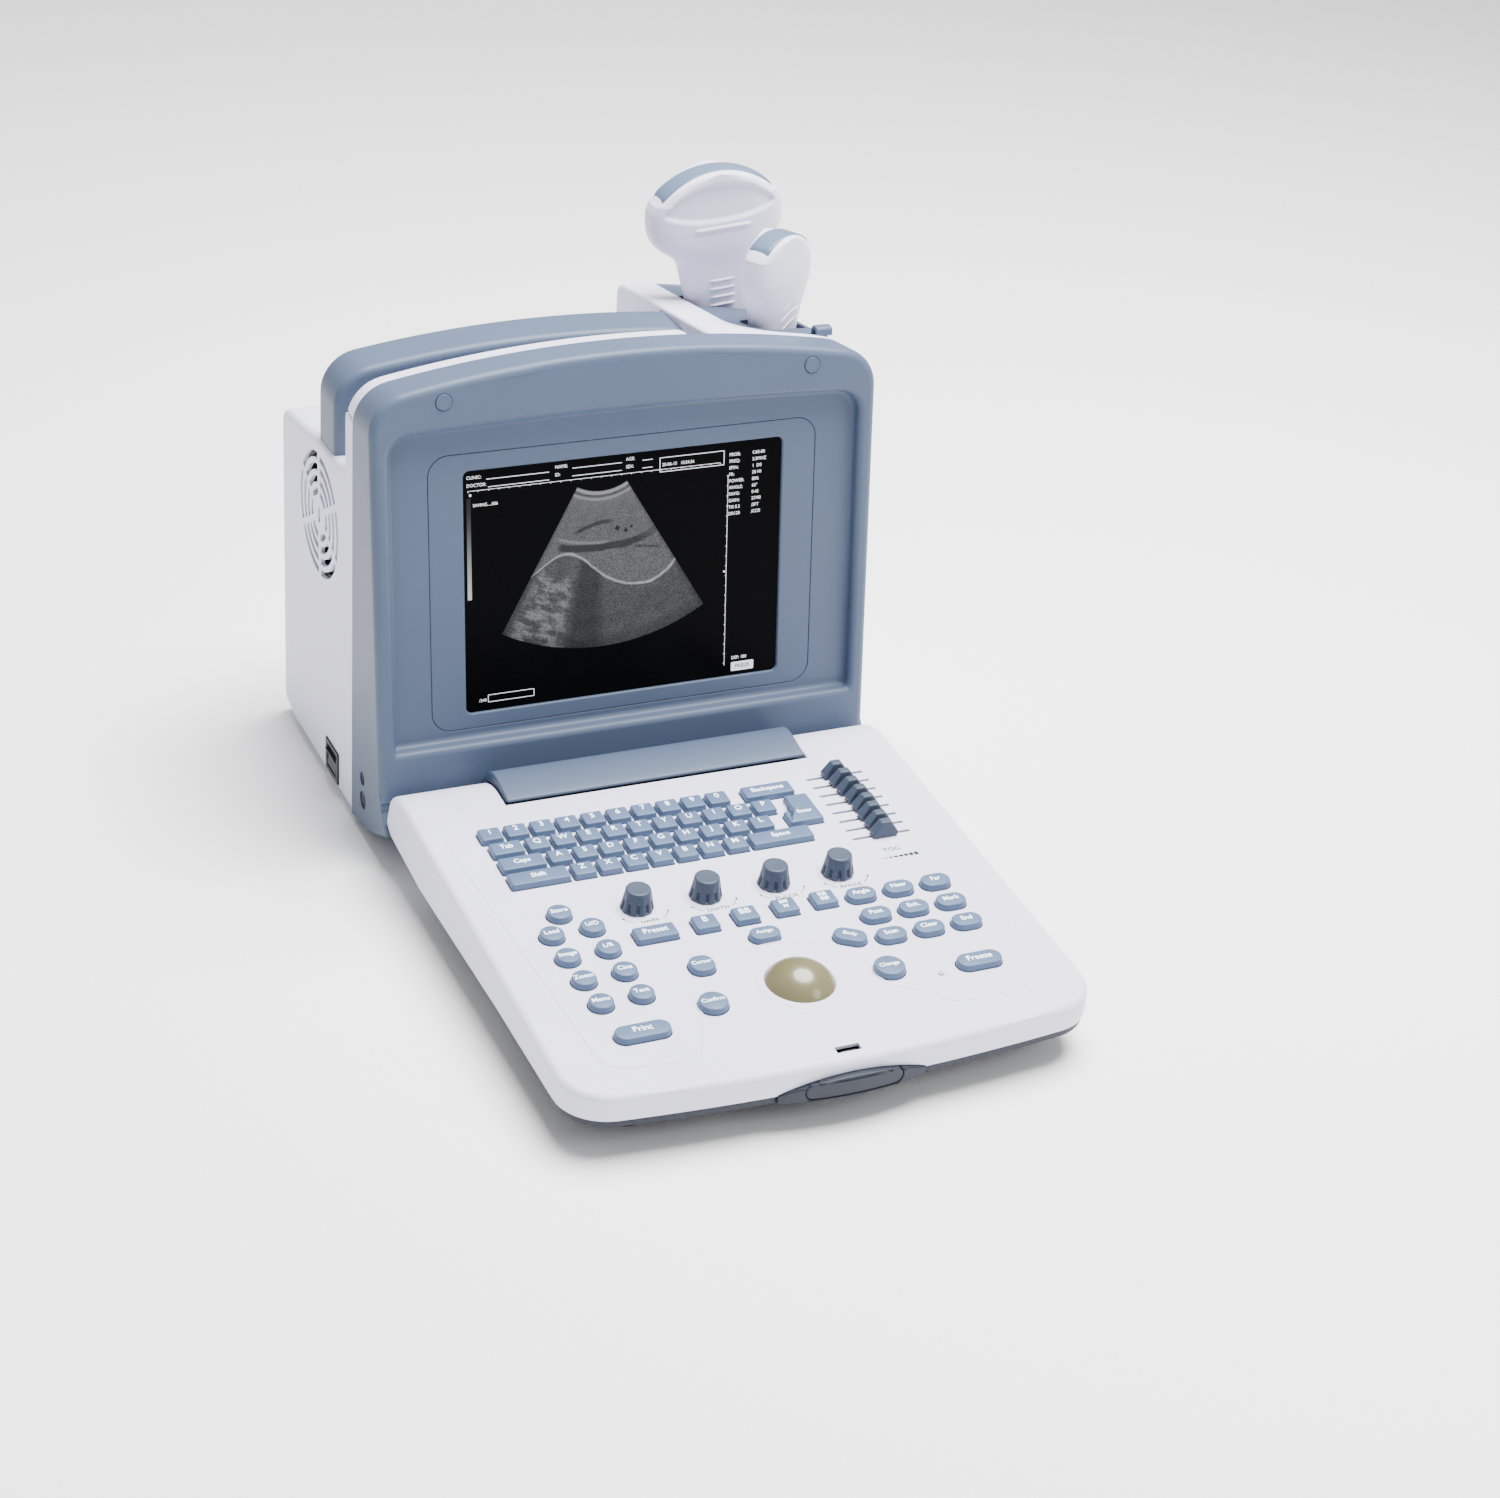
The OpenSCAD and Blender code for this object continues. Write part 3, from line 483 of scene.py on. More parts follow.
def caseWidths(middles, *normals):
    x, y, z = (middles / mm - [0, lineY, 0]).T
    width = np.zeros(len(x))
    onSide = np.abs(np.abs(x) - halfWide) < 0.6
    nearFan = onSide & (x < 0) & (np.hypot(y - fanPlace["y"], z - fanPlace["z"]) < fanPlace["reach"])
    nearSwitch = onSide & (x < 0) & (np.abs(y - switchPlace["y"]) < 14) & (np.abs(z - switchPlace["z"]) < 12)
    width[onSide & (y > 100)] = caseLook["outer"]
    onBack = y > backY - 7
    inBack = (np.abs(x) < 155) & (z > 16) & (z < deckZ - 18) & (y > backY - 0.5)
    width[onBack & ~inBack] = caseLook["outer"]
    width[onBack & (np.abs(x) < 155) & (z < 16)] = 3.0
    width[(x > humpX + 2) & (z > deckZ - 2)] = 0.0
    humpEdge = (np.abs(x - humpX) < 0.6) & (z > deckZ - 14) & (y > 85) & (y < backY - 1)
    width[humpEdge] = caseLook["hump"]
    width[nearFan | nearSwitch] = caseLook["openings"]
    width[y < 85] = caseLook["seam"]
    return width


softened("rear_case", caseWidths, 4)


def rimWidths(middles, *normals):
    z = middles[:, 2] / mm
    y = middles[:, 1] / mm - lineY
    return np.where((z > 276) & (y > 96), 3.0, np.where((z > 276) & (y < 85), 0.5, 0.0))


softened("top_rim", rimWidths, 4)
bezelLook = {"outer": 5.5, "mouth": 4.6, "floor": 4.0, "seam": 0.5, "border": -11.4, "bed": -2.0}


def bezelWidths(middles, *normals):
    x, n, w = toScreen(middles).T
    y = middles[:, 1] / mm - lineY
    width = np.zeros(len(x))
    onFront = np.abs(n - bezelLook["border"]) < 0.4
    inside = (np.abs(x) < 157) & (w > 1) & (w < 219)
    pads = onFront & (np.hypot(np.abs(x) - 121, w - 233.5) < 7)
    width[onFront & ~inside] = bezelLook["outer"]
    width[onFront & inside] = bezelLook["mouth"]
    width[onFront & (w < 0.5)] = 0.8
    width[inside & (np.abs(n - bezelLook["bed"]) < 0.4)] = bezelLook["floor"]
    width[inside & (np.abs(x) < 131) & (w > 13) & (w < 199)] = 0.5
    width[pads] = 0.5
    width[(y > 83) & ((np.abs(x) > 164.5) | (w > 215))] = bezelLook["seam"]
    return width


softened("front_bezel", bezelWidths, 5)


def frameWidths(middles, *normals):
    x, n, w = toScreen(middles).T
    outer = (np.abs(x) > 122) | (np.abs(w - screen["middle"]) > 86)
    return np.where(np.abs(n - bezelLook["bed"]) < 0.4, np.where(outer, 0.5, 1.2), 0.0)


softened("screen_frame", frameWidths, 4)


def evenWidths(width, low=-1e9, high=1e9):
    # the same rounding on every crease between two heights
    def widths(middles, *normals):
        z = middles[:, 2] / mm
        return np.where((z > low) & (z < high), width, 0.0)
    return widths


def handleWidths(middles, *normals):
    x, y, z = (middles / mm - [0, lineY, 0]).T
    foot = (z < deckZ + 1.5) | (x > humpX - 1)
    return np.where(foot, 0.0, 5.0)


softened("carry_handle", handleWidths, 5)
softened("hinge_cover", evenWidths(1.2), 4, crease=40)
softened("keyboard_feet", evenWidths(1.0, -1, 6), 3)
evenly = {"bumper_pads": (0.5, 3), "switch_body": (0.5, 2), "power_rocker": (0.5, 2), "mains_inlet": (0.7, 2),
          "probe_sockets": (0.7, 2), "body_feet": (1.0, 3), "power_supply": (0.6, 2), "fan_frame": (0.6, 2),
          "lcd_panel": (1.0, 2)}
for nodeName, (roundWidth, roundSteps) in evenly.items():
    softened(nodeName, evenWidths(roundWidth), roundSteps)
print("main unit softened")

# ---- keyboard housing ----
deskUp = np.array([0, -math.sin(desk["slope"]), math.cos(desk["slope"])])
topLook = {"edge": 4.5, "cutOut": 0.9, "openings": 0.35, "half": 164.5, "front": -317.0, "bow": 1250.0}


def topWidths(middles, *normals):
    x, y, z = toDesk(middles).T
    width = np.zeros(len(x))
    up = np.maximum(normals[0] @ deskUp, normals[1] @ deskUp) > 0.98
    front = y < topLook["front"] + x ** 2 / (2 * topLook["bow"]) + 28
    nearRim = (np.abs(x) > topLook["half"] - 2) | (front & ((np.abs(x) > 130) | (y < topLook["front"] + 4)))
    atTop = np.abs(z) < 0.3
    width[atTop & up] = topLook["openings"]
    cut = (np.abs(np.abs(x) - 102.4) < 0.5) | (atTop & (np.abs(y + 26) < 0.5))
    width[cut & (y > -40)] = topLook["cutOut"]
    width[atTop & nearRim] = topLook["edge"]
    ear = (np.abs(np.abs(x) - topLook["half"]) < 0.3) & (y > -16) & (z > -22)
    width[ear] = topLook["edge"]
    return width


softened("keyboard_top", topWidths, 5)
softened("keyboard_base", evenWidths(0.8), 2)
softened("front_grip", evenWidths(1.0), 4)
softened("latch_button", evenWidths(0.7), 3)


# flat white collar round the ball: a turned profile with a soft inner lip
def ringPiece():
    look = {"inner": 20.2, "outer": 26.3, "depth": 2.6}
    profile = [(look["inner"] + 0.9, -look["depth"]), (look["inner"], -0.9), (look["inner"] + 0.15, -0.3),
               (look["inner"] + 0.7, 0.1), (22.2, 0.34), (24, 0.42), (25.2, 0.38), (25.9, 0.2),
               (look["outer"], -0.2), (look["outer"] - 0.1, -look["depth"])]
    points, faces = turnedLoop(profile, 128)
    return fromDesk(points + ballCentre * [1, 1, 0]), faces


ballCentre = np.array([-0.5, -242.0, -13.5])
addPiece("trackball_collar", ringPiece(), "keyboard", "white_plastic", ["trackball_ring"], weld=True)


# latitude and longitude grid of a sphere, closed by small lids at its poles
def ballPiece(radius=25.0, rows=60, count=96):
    lift = np.linspace(-np.pi / 2 + 0.01, np.pi / 2 - 0.01, rows)
    profile = np.stack([radius * np.cos(lift), radius * np.sin(lift)], -1)
    points, faces = turned(profile, count)
    return fromDesk(points + ballCentre), faces


addPiece("trackball_sphere", ballPiece(), "ball", "ball_ivory", ["trackball"])
print("keyboard housing done")

# ---- raised contour and collars on the keyboard ----
contour = {"width": 1.7, "height": 0.42,
           "left": [(-152, -33), (-150.5, -60), (-137.5, -270), (-134, -284), (-120, -288), (-88, -291),
                    (-79.5, -287), (-78.4, -283), (-66, -253.5), (-68, -244), (-63, -236), (-51, -229),
                    (-35.7, -214.2), (-14.8, -205.1), (0.7, -203.4), (18, -206.5), (30, -212)],
           "right": [(40, -228), (46, -238), (44, -252), (52, -264), (66, -268), (74, -284), (96, -287),
                     (130, -282), (145, -272), (148, -250), (151.5, -33)],
           "back": [(-151.5, -33), (0, -30), (151.5, -33)]}
contourParts = [bead(filleted(contour[key], 9, 6, closed=False), contour["width"], contour["height"])
                for key in ("left", "right", "back")]
knobY = -149.0
knobPlaces = {"gain": -64.5, "depth": -20.6, "focus": 23.9, "angle": 66.3}
for knobX in knobPlaces.values():
    lip = [(10.9, -0.1), (11.3, 0.16), (12.1, 0.2), (13.2, 0.12), (13.9, -0.1)]
    contourParts.append(shifted(turnedLoop(lip, 72), knobX, knobY, 0))
lip = [(28.2, -0.1), (28.5, 0.2), (29.4, 0.32), (30.6, 0.2), (31.6, -0.1)]
contourParts.append(shifted(turnedLoop(lip, 128), *ballCentre[:2], 0))
addPiece("keyboard_contour", onDesk(contourParts), "keyboard", "white_plastic", weld=True)


# ---- keys ----
# boxes round the separate solids of a node, on the desk, in reading order: (middle x, middle y, w, h)
def islands(node):
    mesh = frame["nodes"][node].data
    points = pulled(mesh.vertices, "co", 3)
    rounded, same = np.unique(np.round(points, 6), axis=0, return_inverse=True)
    ends = same.ravel()[pulled(mesh.edges, "vertices", 2, int)]
    label = np.arange(len(rounded))
    while True:                 # the lowest label spreads along the edges until nothing changes
        lowest = np.minimum(label[ends[:, 0]], label[ends[:, 1]])
        spread = label.copy()
        np.minimum.at(spread, ends[:, 0], lowest)
        np.minimum.at(spread, ends[:, 1], lowest)
        if (spread == label).all():
            break
        label = spread
    flat = toDesk(rounded)
    boxes = []
    for island in np.unique(label):
        own = flat[label == island]
        low, high = own.min(0), own.max(0)
        boxes.append(((low[0] + high[0]) / 2, (low[1] + high[1]) / 2, high[0] - low[0], high[1] - low[1]))
    return sorted(boxes, key=lambda box: (-round(box[1] / 6), box[0]))


keyLook = {"rise": 4.0, "root": -5.2, "taper": 0.35, "round": 0.95}


def keyCap(outline, middle):
    steps = [(0, keyLook["root"]), (0, 0.2), (keyLook["taper"] * 0.6, keyLook["rise"] - keyLook["round"] - 0.4)]
    steps += roundedTop(keyLook["taper"], keyLook["rise"], keyLook["round"])
    rings = stepped(outline, steps)
    rings[:, :, :2] += middle
    return loft(rings)


keyCorners = {"digit_keys": 1.6, "letter_keys": 1.6, "wide_keys": 1.6, "mode_keys": 1.8, "preset_key": 1.8,
              "round_keys": 7.59, "print_key": 6.6, "oval_keys": 6.4, "freeze_key": 6.6}
keyBoxes = {}
for node, corner in keyCorners.items():
    keyBoxes[node] = islands(node)
    caps = [keyCap(roundedBox(w, h, min(corner, w / 2 - 0.01, h / 2 - 0.01), 5 if corner < 3 else 14), (x, y))
            for x, y, w, h in keyBoxes[node]]
    addPiece(node + "_caps", onDesk(caps), node + "_body", "key_blue", [node])
keyBoxes["mode_keys"].sort()    # these step down to the right, so they are read by x alone


def turnedBox(w, h, r, degrees):
    box, a = roundedBox(w, h, r, 14), math.radians(degrees)
    return box @ np.array([[math.cos(a), math.sin(a)], [-math.sin(a), math.cos(a)]])


pointerKeys = {"cursor": (-50.5, -214.7, 15.6, 15.6, 6.5, 0), "confirm": (-57.9, -249.2, 18, 18, 8.99, 0),
               "assign": (-3.3, -197.4, 19.6, 12.4, 6.1, 0), "body": (44.5, -213.5, 20.6, 13, 6.4, -32),
               "change": (54, -247.3, 19.2, 19.2, 9.59, 0)}
caps = [keyCap(turnedBox(w, h, r, turn), (x, y)) for x, y, w, h, r, turn in pointerKeys.values()]
addPiece("pointer_keys_caps", onDesk(caps), "pointer_keys_body", "key_blue", ["pointer_keys"])


# the enter key's step-shaped outline, worked out from its own box
def enterCap():
    x, y, w, h = islands("enter_key")[0]
    left, right, low, high = x - w / 2, x + w / 2, y - h / 2, y + h / 2
    notchX, notchY = left + 7.2, low + 13.0
    corners = [(left, low), (right, low), (right, high), (notchX, high), (notchX, notchY), (left, notchY)]
    outline = filleted(corners, 1.6, 6)
    keyBoxes["enter_key"] = [(x + 2, y - 6, w, h)]
    return keyCap(outline, (0, 0))


addPiece("enter_key_cap", onDesk([enterCap()]), "enter_key_body", "key_blue", ["enter_key"])
print("keys:", sum(len(boxes) for boxes in keyBoxes.values()) + len(pointerKeys))

# ---- dials and sliders ----
knobLook = {"foot": 10.0, "waist": 8.9, "head": 7.7, "height": 14.0, "slots": 10, "depth": 1.3, "wide": 0.11}


# slots low on the skirt: a narrow bell round each of the evenly spread angles, fading out half way up
def slotDepth(height, turn):
    step = 2 * np.pi / knobLook["slots"]
    offset = (turn + step / 2) % step - step / 2
    rise = np.clip((7.6 - height) / 1.6, 0, 1) * np.clip((height - 0.9) / 0.7, 0, 1)
    slot = np.exp(-(offset / knobLook["wide"]) ** 4) * rise
    facet = 0.18 * np.cos(turn * knobLook["slots"]) * np.clip((13.2 - height) / 4, 0, 1)
    return knobLook["depth"] * slot + facet


def knobProfile():
    low = np.linspace(0.9, 12.9, 22)
    share = (low - 0.9) / 12.0
    radius = knobLook["foot"] + (knobLook["head"] - knobLook["foot"]) * share ** 0.85
    side = list(zip(radius, low))
    head = [(knobLook["head"] - 0.08, 13.3), (knobLook["head"] - 0.35, 13.7), (knobLook["head"] - 0.9, 13.95),
            (knobLook["head"] - 1.6, 14.0), (4.0, 13.86), (0.4, 13.8)]
    return [(2.9, -8), (2.9, 0.55), (9.4, 0.55), (9.9, 0.65)] + side + head


for knobName, knobX in knobPlaces.items():
    cap = shifted(turned(knobProfile(), 200, slotDepth), knobX, knobY, 0)
    addPiece(knobName + "_knob_cap", onDesk([cap]), knobName + "_dial", "knob_grey", [knobName + "_knob"],
             smooth=50)


def pinched(points):            # the cap grows thinner towards its top
    flat = toDesk(points)
    middle = (flat[:, 1].min() + flat[:, 1].max()) / 2
    share = np.clip(flat[:, 2] / 10.9, 0, 1)
    flat[:, 1] = middle + (flat[:, 1] - middle) * (1 - 0.34 * share ** 1.5)
    return fromDesk(flat)


for number in range(1, 9):
    softened(f"gain_slider_{number}", evenWidths(1.1), 3, reshape=pinched, crease=14)
print("dials and sliders done")

# ---- lettering ----
inkThick = 0.05                 # mm
textCurve = bpy.data.curves.new("lettering", "FONT")
textCurve.resolution_u = 3
textCurve.align_x, textCurve.align_y = "CENTER", "CENTER"
textObject = bpy.data.objects.new("lettering", textCurve)
bpy.context.scene.collection.objects.link(textObject)


# one line of lettering as a thin solid: points (x, y, z) in mm about its own middle
def letters(words, size, stretch=1.0, bold=0.0):
    textCurve.body, textCurve.size, textCurve.offset, textCurve.extrude = words, size, bold, inkThick
    bpy.context.view_layer.update()
    solid = textObject.evaluated_get(bpy.context.evaluated_depsgraph_get()).to_mesh()
    faces = [list(face.vertices) for face in solid.polygons]
    return pulled(solid.vertices, "co", 3) * [stretch, 1, 1], faces


legends = {
    "digit_keys": (list("1234567890"), 6.6), "letter_keys": (list("QWERTYUIOPASDFGHJKLZXCVBNM"), 6.4),
    "wide_keys": (["Backspace", "Tab", "Caps", "Shift", "Space"], 5.6), "enter_key": (["Enter"], 4.8),
    "mode_keys": (["B", "BB", "BM\nM", "B|B\nB|B"], 7.0), "preset_key": (["Preset"], 6.4),
    "round_keys": (["Store", "Load", "U/D", "Image", "L/R", "Zoom", "Cine", "Text", "Menu"], 5.0),
    "print_key": (["Print"], 6.4), "freeze_key": (["Freeze"], 6.4),
    "oval_keys": (["Angle", "Near", "Far", "Post", "Enh.", "Mark", "Scan", "Clear", "End"], 5.2)}
for node, (words, size) in legends.items():
    parts = []
    for (x, y, w, h), word in zip(keyBoxes[node], words):
        small = 0.62 if "\n" in word else 1.0
        raised = 0.12 * h if len(word) < 3 else 0.06 * h
        parts.append(shifted(letters(word, size * small, 0.95, 0.08), x, y + raised, keyLook["rise"] + 0.03))
    addPiece(node + "_legends", onDesk(parts), node + "_body", "key_blue", finish=inks["white"], weld=True)
parts = [shifted(letters(word.capitalize(), 4.4, 0.95, 0.06), x, y + 0.8, keyLook["rise"] + 0.03, turn)
         for word, (x, y, w, h, r, turn) in pointerKeys.items()]
addPiece("pointer_keys_legends", onDesk(parts), "pointer_keys_body", "key_blue", finish=inks["white"],
         weld=True)


# thin arc between two angles with an arrow head at its end
def arrowArc(x, y, radius, start, end):
    turn = np.radians(np.linspace(start, end, 14))
    line = np.stack([x + radius * np.cos(turn), y + radius * np.sin(turn)], -1)
    tip, back = line[-1], line[-4]
    along = (tip - back) / np.linalg.norm(tip - back)
    side = np.array([along[1], -along[0]])
    corners = np.array([tip + along * 1.2, tip - along + side * 0.85, tip - along - side * 0.85])
    head = np.concatenate([np.column_stack([corners, np.full(3, z)]) for z in (0.0, inkThick)])
    sides = [[0, 1, 4, 3], [1, 2, 5, 4], [2, 0, 3, 5], [2, 1, 0], [3, 4, 5]]
    return [bead(line, 0.5, 0.08, -0.01), (head, sides)]


def bar(x, y, w, h):
    outline = roundedBox(w, h, min(w, h) * 0.1, 3) + [x, y]
    return loft(np.stack([np.column_stack([outline, np.full(len(outline), z)]) for z in (0.0, inkThick)]))


inkParts = []
for knobName, knobX in knobPlaces.items():
    inkParts += arrowArc(knobX + 2, knobY, 16.6, 241, 211)
    inkParts += arrowArc(knobX + 2, knobY, 16.8, 303, 333)
    inkParts.append(shifted(letters(knobName.upper(), 4.4, 1.05, 0.06), knobX + 2.5, -163.3, 0.03))
inkParts.append(shifted(letters("TGC", 5.2, 1.15, 0.05), 109.8, -135.4, 0.03))
inkParts += [bar(98.6 + 3.45 * step, -143.4, 2.7, 0.35 + 0.42 * step) for step in range(8)]
addPiece("keyboard_print", onDesk(inkParts), "keyboard", "dark_grey_plastic", finish=inks["grey"], weld=True)
print("lettering done")

# ---- picture and lettering on the display ----
sector = {"x": -15.8, "w": 89.8, "inner": 33.0, "outer": 136.5, "middle": 1.0, "spread": 30.0}


# polar grid: angle across, radius down; its map holds both as 0 to 1
def sectorPiece(rows=60, columns=72):
    turn = np.radians(sector["middle"] + np.linspace(-1, 1, columns) * sector["spread"])[None, :]
    radius = np.linspace(sector["inner"], sector["outer"], rows)[:, None]
    x = sector["x"] + radius * np.sin(turn)
    w = screen["middle"] + sector["w"] - radius * np.cos(turn)
    points = np.stack([x, np.full(x.shape, -0.06), w], -1).reshape(-1, 3)
    faces = [face[::-1] for face in gridFaces(rows, columns, closed=False)]
    piece = addPiece("scan_picture", (fromScreen(points), faces), "main_unit", "screen_glass",
                     finish=scanPicture())
    corner = pulled(piece.data.loops, "vertex_index", 1, int)
    across = (corner % columns) / (columns - 1)
    down = (corner // columns) / (rows - 1)
    chart = piece.data.uv_layers.new(name="scan")
    chart.data.foreach_set("uv", np.stack([across, down], -1).ravel())
    depth = piece.modifiers.new("film", "SOLIDIFY")
    depth.thickness, depth.offset = 0.04 * mm, -1.0


# Echo picture from the angle u (-1 to 1) and the depth v (0 to 1): speckle times a tissue level, dark
# vessels and a bright curved boundary, each a band round a polynomial v(u).
def scanPicture():
    finish = Finish("echo picture", Base_Color=(0.001, 0.001, 0.001, 1), Specular_IOR_Level=0.05)
    chart = finish.node("ShaderNodeUVMap", {"uv_map": "scan"})
    u = finish.node("ShaderNodeSeparateXYZ", None, [chart], 0) * 2 - 1
    v = finish.node("ShaderNodeSeparateXYZ", None, [chart], 1)
    wobble = finish.noise(chart, 7.0, 2.0)

    def speckle(across, down, detail=2.0):
        where = finish.node("ShaderNodeMapping", None, {"Vector": chart, "Scale": (across, down, 1)})
        return finish.noise(where, 1.0, detail, 0.6)

    def curve(*factors):        # highest power first
        total = factors[0] * u
        for factor in factors[1:-1]:
            total = (total + factor) * u
        return total + factors[-1]

    def band(line, half, soft):
        return 1 - abs(v - line).step(half, half + soft)

    fine, coarse, cloud = speckle(95, 150), speckle(45, 80), speckle(9, 14, 3.0)
    grain = fine.step(0.30, 0.74) * 0.75 + coarse.step(0.25, 0.75) * 0.45
    wall = curve(0.129, -0.327, -0.046, 0.333, 0.535) + (wobble - 0.5) * 0.03
    below = (v - wall).step(-0.01, 0.015)
    tissue = 0.32 + (cloud - 0.5) * 0.2
    shadowed = 0.17 + (cloud - 0.5) * 0.16
    smear = (u.step(-0.97, -0.86) * (1 - u.step(-0.50, -0.36)) * v.step(0.5, 0.62)) * cloud.step(0.40, 0.62)
    darkColumn = u.step(-0.44, -0.30) * (1 - u.step(-0.12, 0.05)) * below
    level = tissue * (1 - below) + (shadowed + smear * 0.30 + (1 - v) * 0.1) * below
    level = level * (1 - darkColumn * 0.45)
    trunk = curve(-0.035, -0.016, 0.058, 0.004, 0.357) + (wobble - 0.5) * 0.02
    trunkDark = band(trunk, 0.017, 0.012) * u.step(-0.86, -0.74) * (1 - (u - 0.55).step(0, 0.5) * 0.55)
    branch = band(curve(0.02, 0.194, -0.019, 0.198), 0.006, 0.014)
    branch = branch * u.step(-0.68, -0.5) * (1 - u.step(0.1, 0.3))
    twig = band(curve(0.06, 0.05, 0.06, 0.352), 0.003, 0.012) * u.step(0.5, 0.62) * (1 - u.step(0.85, 0.95))

    def spot(spotU, spotV, size):
        away = abs(u - spotU) * 0.36 + abs(v - spotV)
        return 1 - away.step(size * 0.7, size * 1.7)

    spots = spot(0.315, 0.257, 0.017).atLeast(spot(0.474, 0.289, 0.014)).atLeast(spot(0.60, 0.279, 0.010))
    level = level * (1 - trunkDark * 0.74) * (1 - branch * 0.6) * (1 - twig * 0.5) * (1 - spots * 0.8)
    picture = level * (0.35 + grain * 1.05)
    bright = band(wall, 0.0, 0.014) * (0.2 + cloud * 1.0)
    lining = band(curve(0.014, 0.001, 0.327), 0.003, 0.010) * (1 - u.step(0.0, 0.2)) * u.step(-0.92, -0.8)
    picture = picture + bright * 0.95 + lining * 0.22 + trunkDark * 0.03
    skin = band(0.014, 0.006, 0.006) * 0.4 + band(0.052, 0.004, 0.008) * 0.28
    picture = picture + skin - band(0.032, 0.006, 0.006) * 0.12 + v.step(0.16, 0.0) * 0.08
    edges = (1 - abs(u).step(0.93, 1.0) * 0.35) * (1 - v.step(0.9, 1.0) * 0.3)
    shown = picture * edges
    tint = [shown * share for share in (0.5, 0.51, 0.53)]
    finish.set("Emission Color", finish.node("ShaderNodeCombineColor", None, tint))
    finish.set("Emission Strength", 1.0)
    return finish


sectorPiece()


# grey scale bar: light grows down the bar
def scaleBar():
    finish = Finish("grey scale", Base_Color=(0.001, 0.001, 0.001, 1), Specular_IOR_Level=0.05)
    height = finish.node("ShaderNodeSeparateXYZ", None, [finish.place()], 2)
    low = fromScreen([(0, 0, screen["middle"] - 4.3)])[0, 2]
    high = fromScreen([(0, 0, screen["middle"] + 61.6)])[0, 2]
    light = ((high - height) / (high - low)).atLeast(0).atMost(1)
    light = light * light * 0.82 + 0.02 + 0.02 * finish.noise(finish.place(), 300.0)
    finish.set("Emission Color", finish.node("ShaderNodeCombineColor", None, [light, light, light]))
    finish.set("Emission Strength", 1.0)
    return finish


# parts laid out flat as (across, up from the middle of the glass, off it) are stood up on the glass
def onGlass(parts):
    points, faces = joined(parts)
    return fromScreen(np.stack([points[:, 0], -0.02 - points[:, 2], points[:, 1] + screen["middle"]], -1)), faces


addPiece("grey_scale_bar", onGlass([bar(-102.7, 28.6, 2.7, 65.9)]), "main_unit", "screen_glass",
         finish=scaleBar(), weld=True)


# text on the glass starts at its left end
def line(words, x, w, size=3.1):
    textCurve.align_x = "LEFT"
    part = shifted(letters(words, size, 0.92, 0.0), x, w, 0.03)
    textCurve.align_x = "CENTER"
    return part


def stroke(x0, w0, x1, w1, wide=0.42):
    return bar((x0 + x1) / 2, (w0 + w1) / 2, max(abs(x1 - x0), wide), max(abs(w1 - w0), wide))


readings = [("PROB:", "C60-80"), ("FREQ:", "3.5MHZ"), ("EPIN:", "1  D0"), ("FR:", "20 HI"), ("POWER:", "80%"),
            ("ANGLE:", "60°"), ("FAVG:", "0.45"), ("GAIN:", "27/40"), ("TIS 0.2", "/SFT"), ("DR120", "/CC0")]
glassParts = [line("CLINIC:", -104, 74.6), line("DOCTOR:", -104, 69.6), line("NAME:", -46.5, 75.4),
              line("ID:", -46.5, 70.4), line("AGE:", 0.4, 75.4), line("SEX:", 0.4, 70.4),
              line("20-06-15   10:24:36", 24.8, 69.1, 3.0), line("SAVING.....006", -100, 56.6, 2.9),
              line("DEP: 180", 74.9, -67.5), line("/340", -97.5, -72.4, 3.0)]
for row, (label, value) in enumerate(readings):
    glassParts += [line(label, 70.6, 70.6 - row * 4.35), line(value, 86.5, 70.6 - row * 4.35)]
glassParts += [stroke(*ends) for ends in (
    (-91, 72.8, -50.4, 72.8), (-90, 67.8, -50.4, 67.8), (-35, 73.6, -2.2, 73.6), (-35, 68.6, -2.2, 68.6),
    (11.5, 73.6, 18.4, 73.6), (11.5, 68.6, 18.4, 68.6))]
for x0, w0, x1, w1 in ((23.3, 64.6, 67, 73.8), (-91.5, -73.9, -61, -69.2)):     # two boxes
    glassParts += [stroke(x0, w0, x1, w0), stroke(x0, w1, x1, w1)]
    glassParts += [stroke(x0, w0, x0, w1), stroke(x1, w0, x1, w1)]
tick = 6.7
glassParts += [stroke(-103, 66.2, 64.2, 66.2, 0.3), stroke(70, -72, 70, 57.6, 0.3)]
glassParts += [stroke(-103 + tick * k, 65.4, -103 + tick * k, 66.2, 0.4) for k in range(26)]
glassParts += [stroke(69.2, 57 - tick * k, 70, 57 - tick * k, 0.4) for k in range(20)]
glassParts += [bar(-101.6, 63.5, 1.3, 1.6), bar(68.6, -7, 1.2, 1.2), bar(82.8, -73.6, 15.8, 6.2)]
addPiece("display_lettering", onGlass(glassParts), "main_unit", "screen_glass", finish=inks["lit"], weld=True)
freezeWord = shifted(letters("FREEZE", 3.4, 0.95, 0.02), 82.8, -73.6, 0.1)
addPiece("display_freeze_word", onGlass([freezeWord]), "main_unit", "screen_glass",
         finish=finishes["black_plastic"], weld=True)
print("display done")

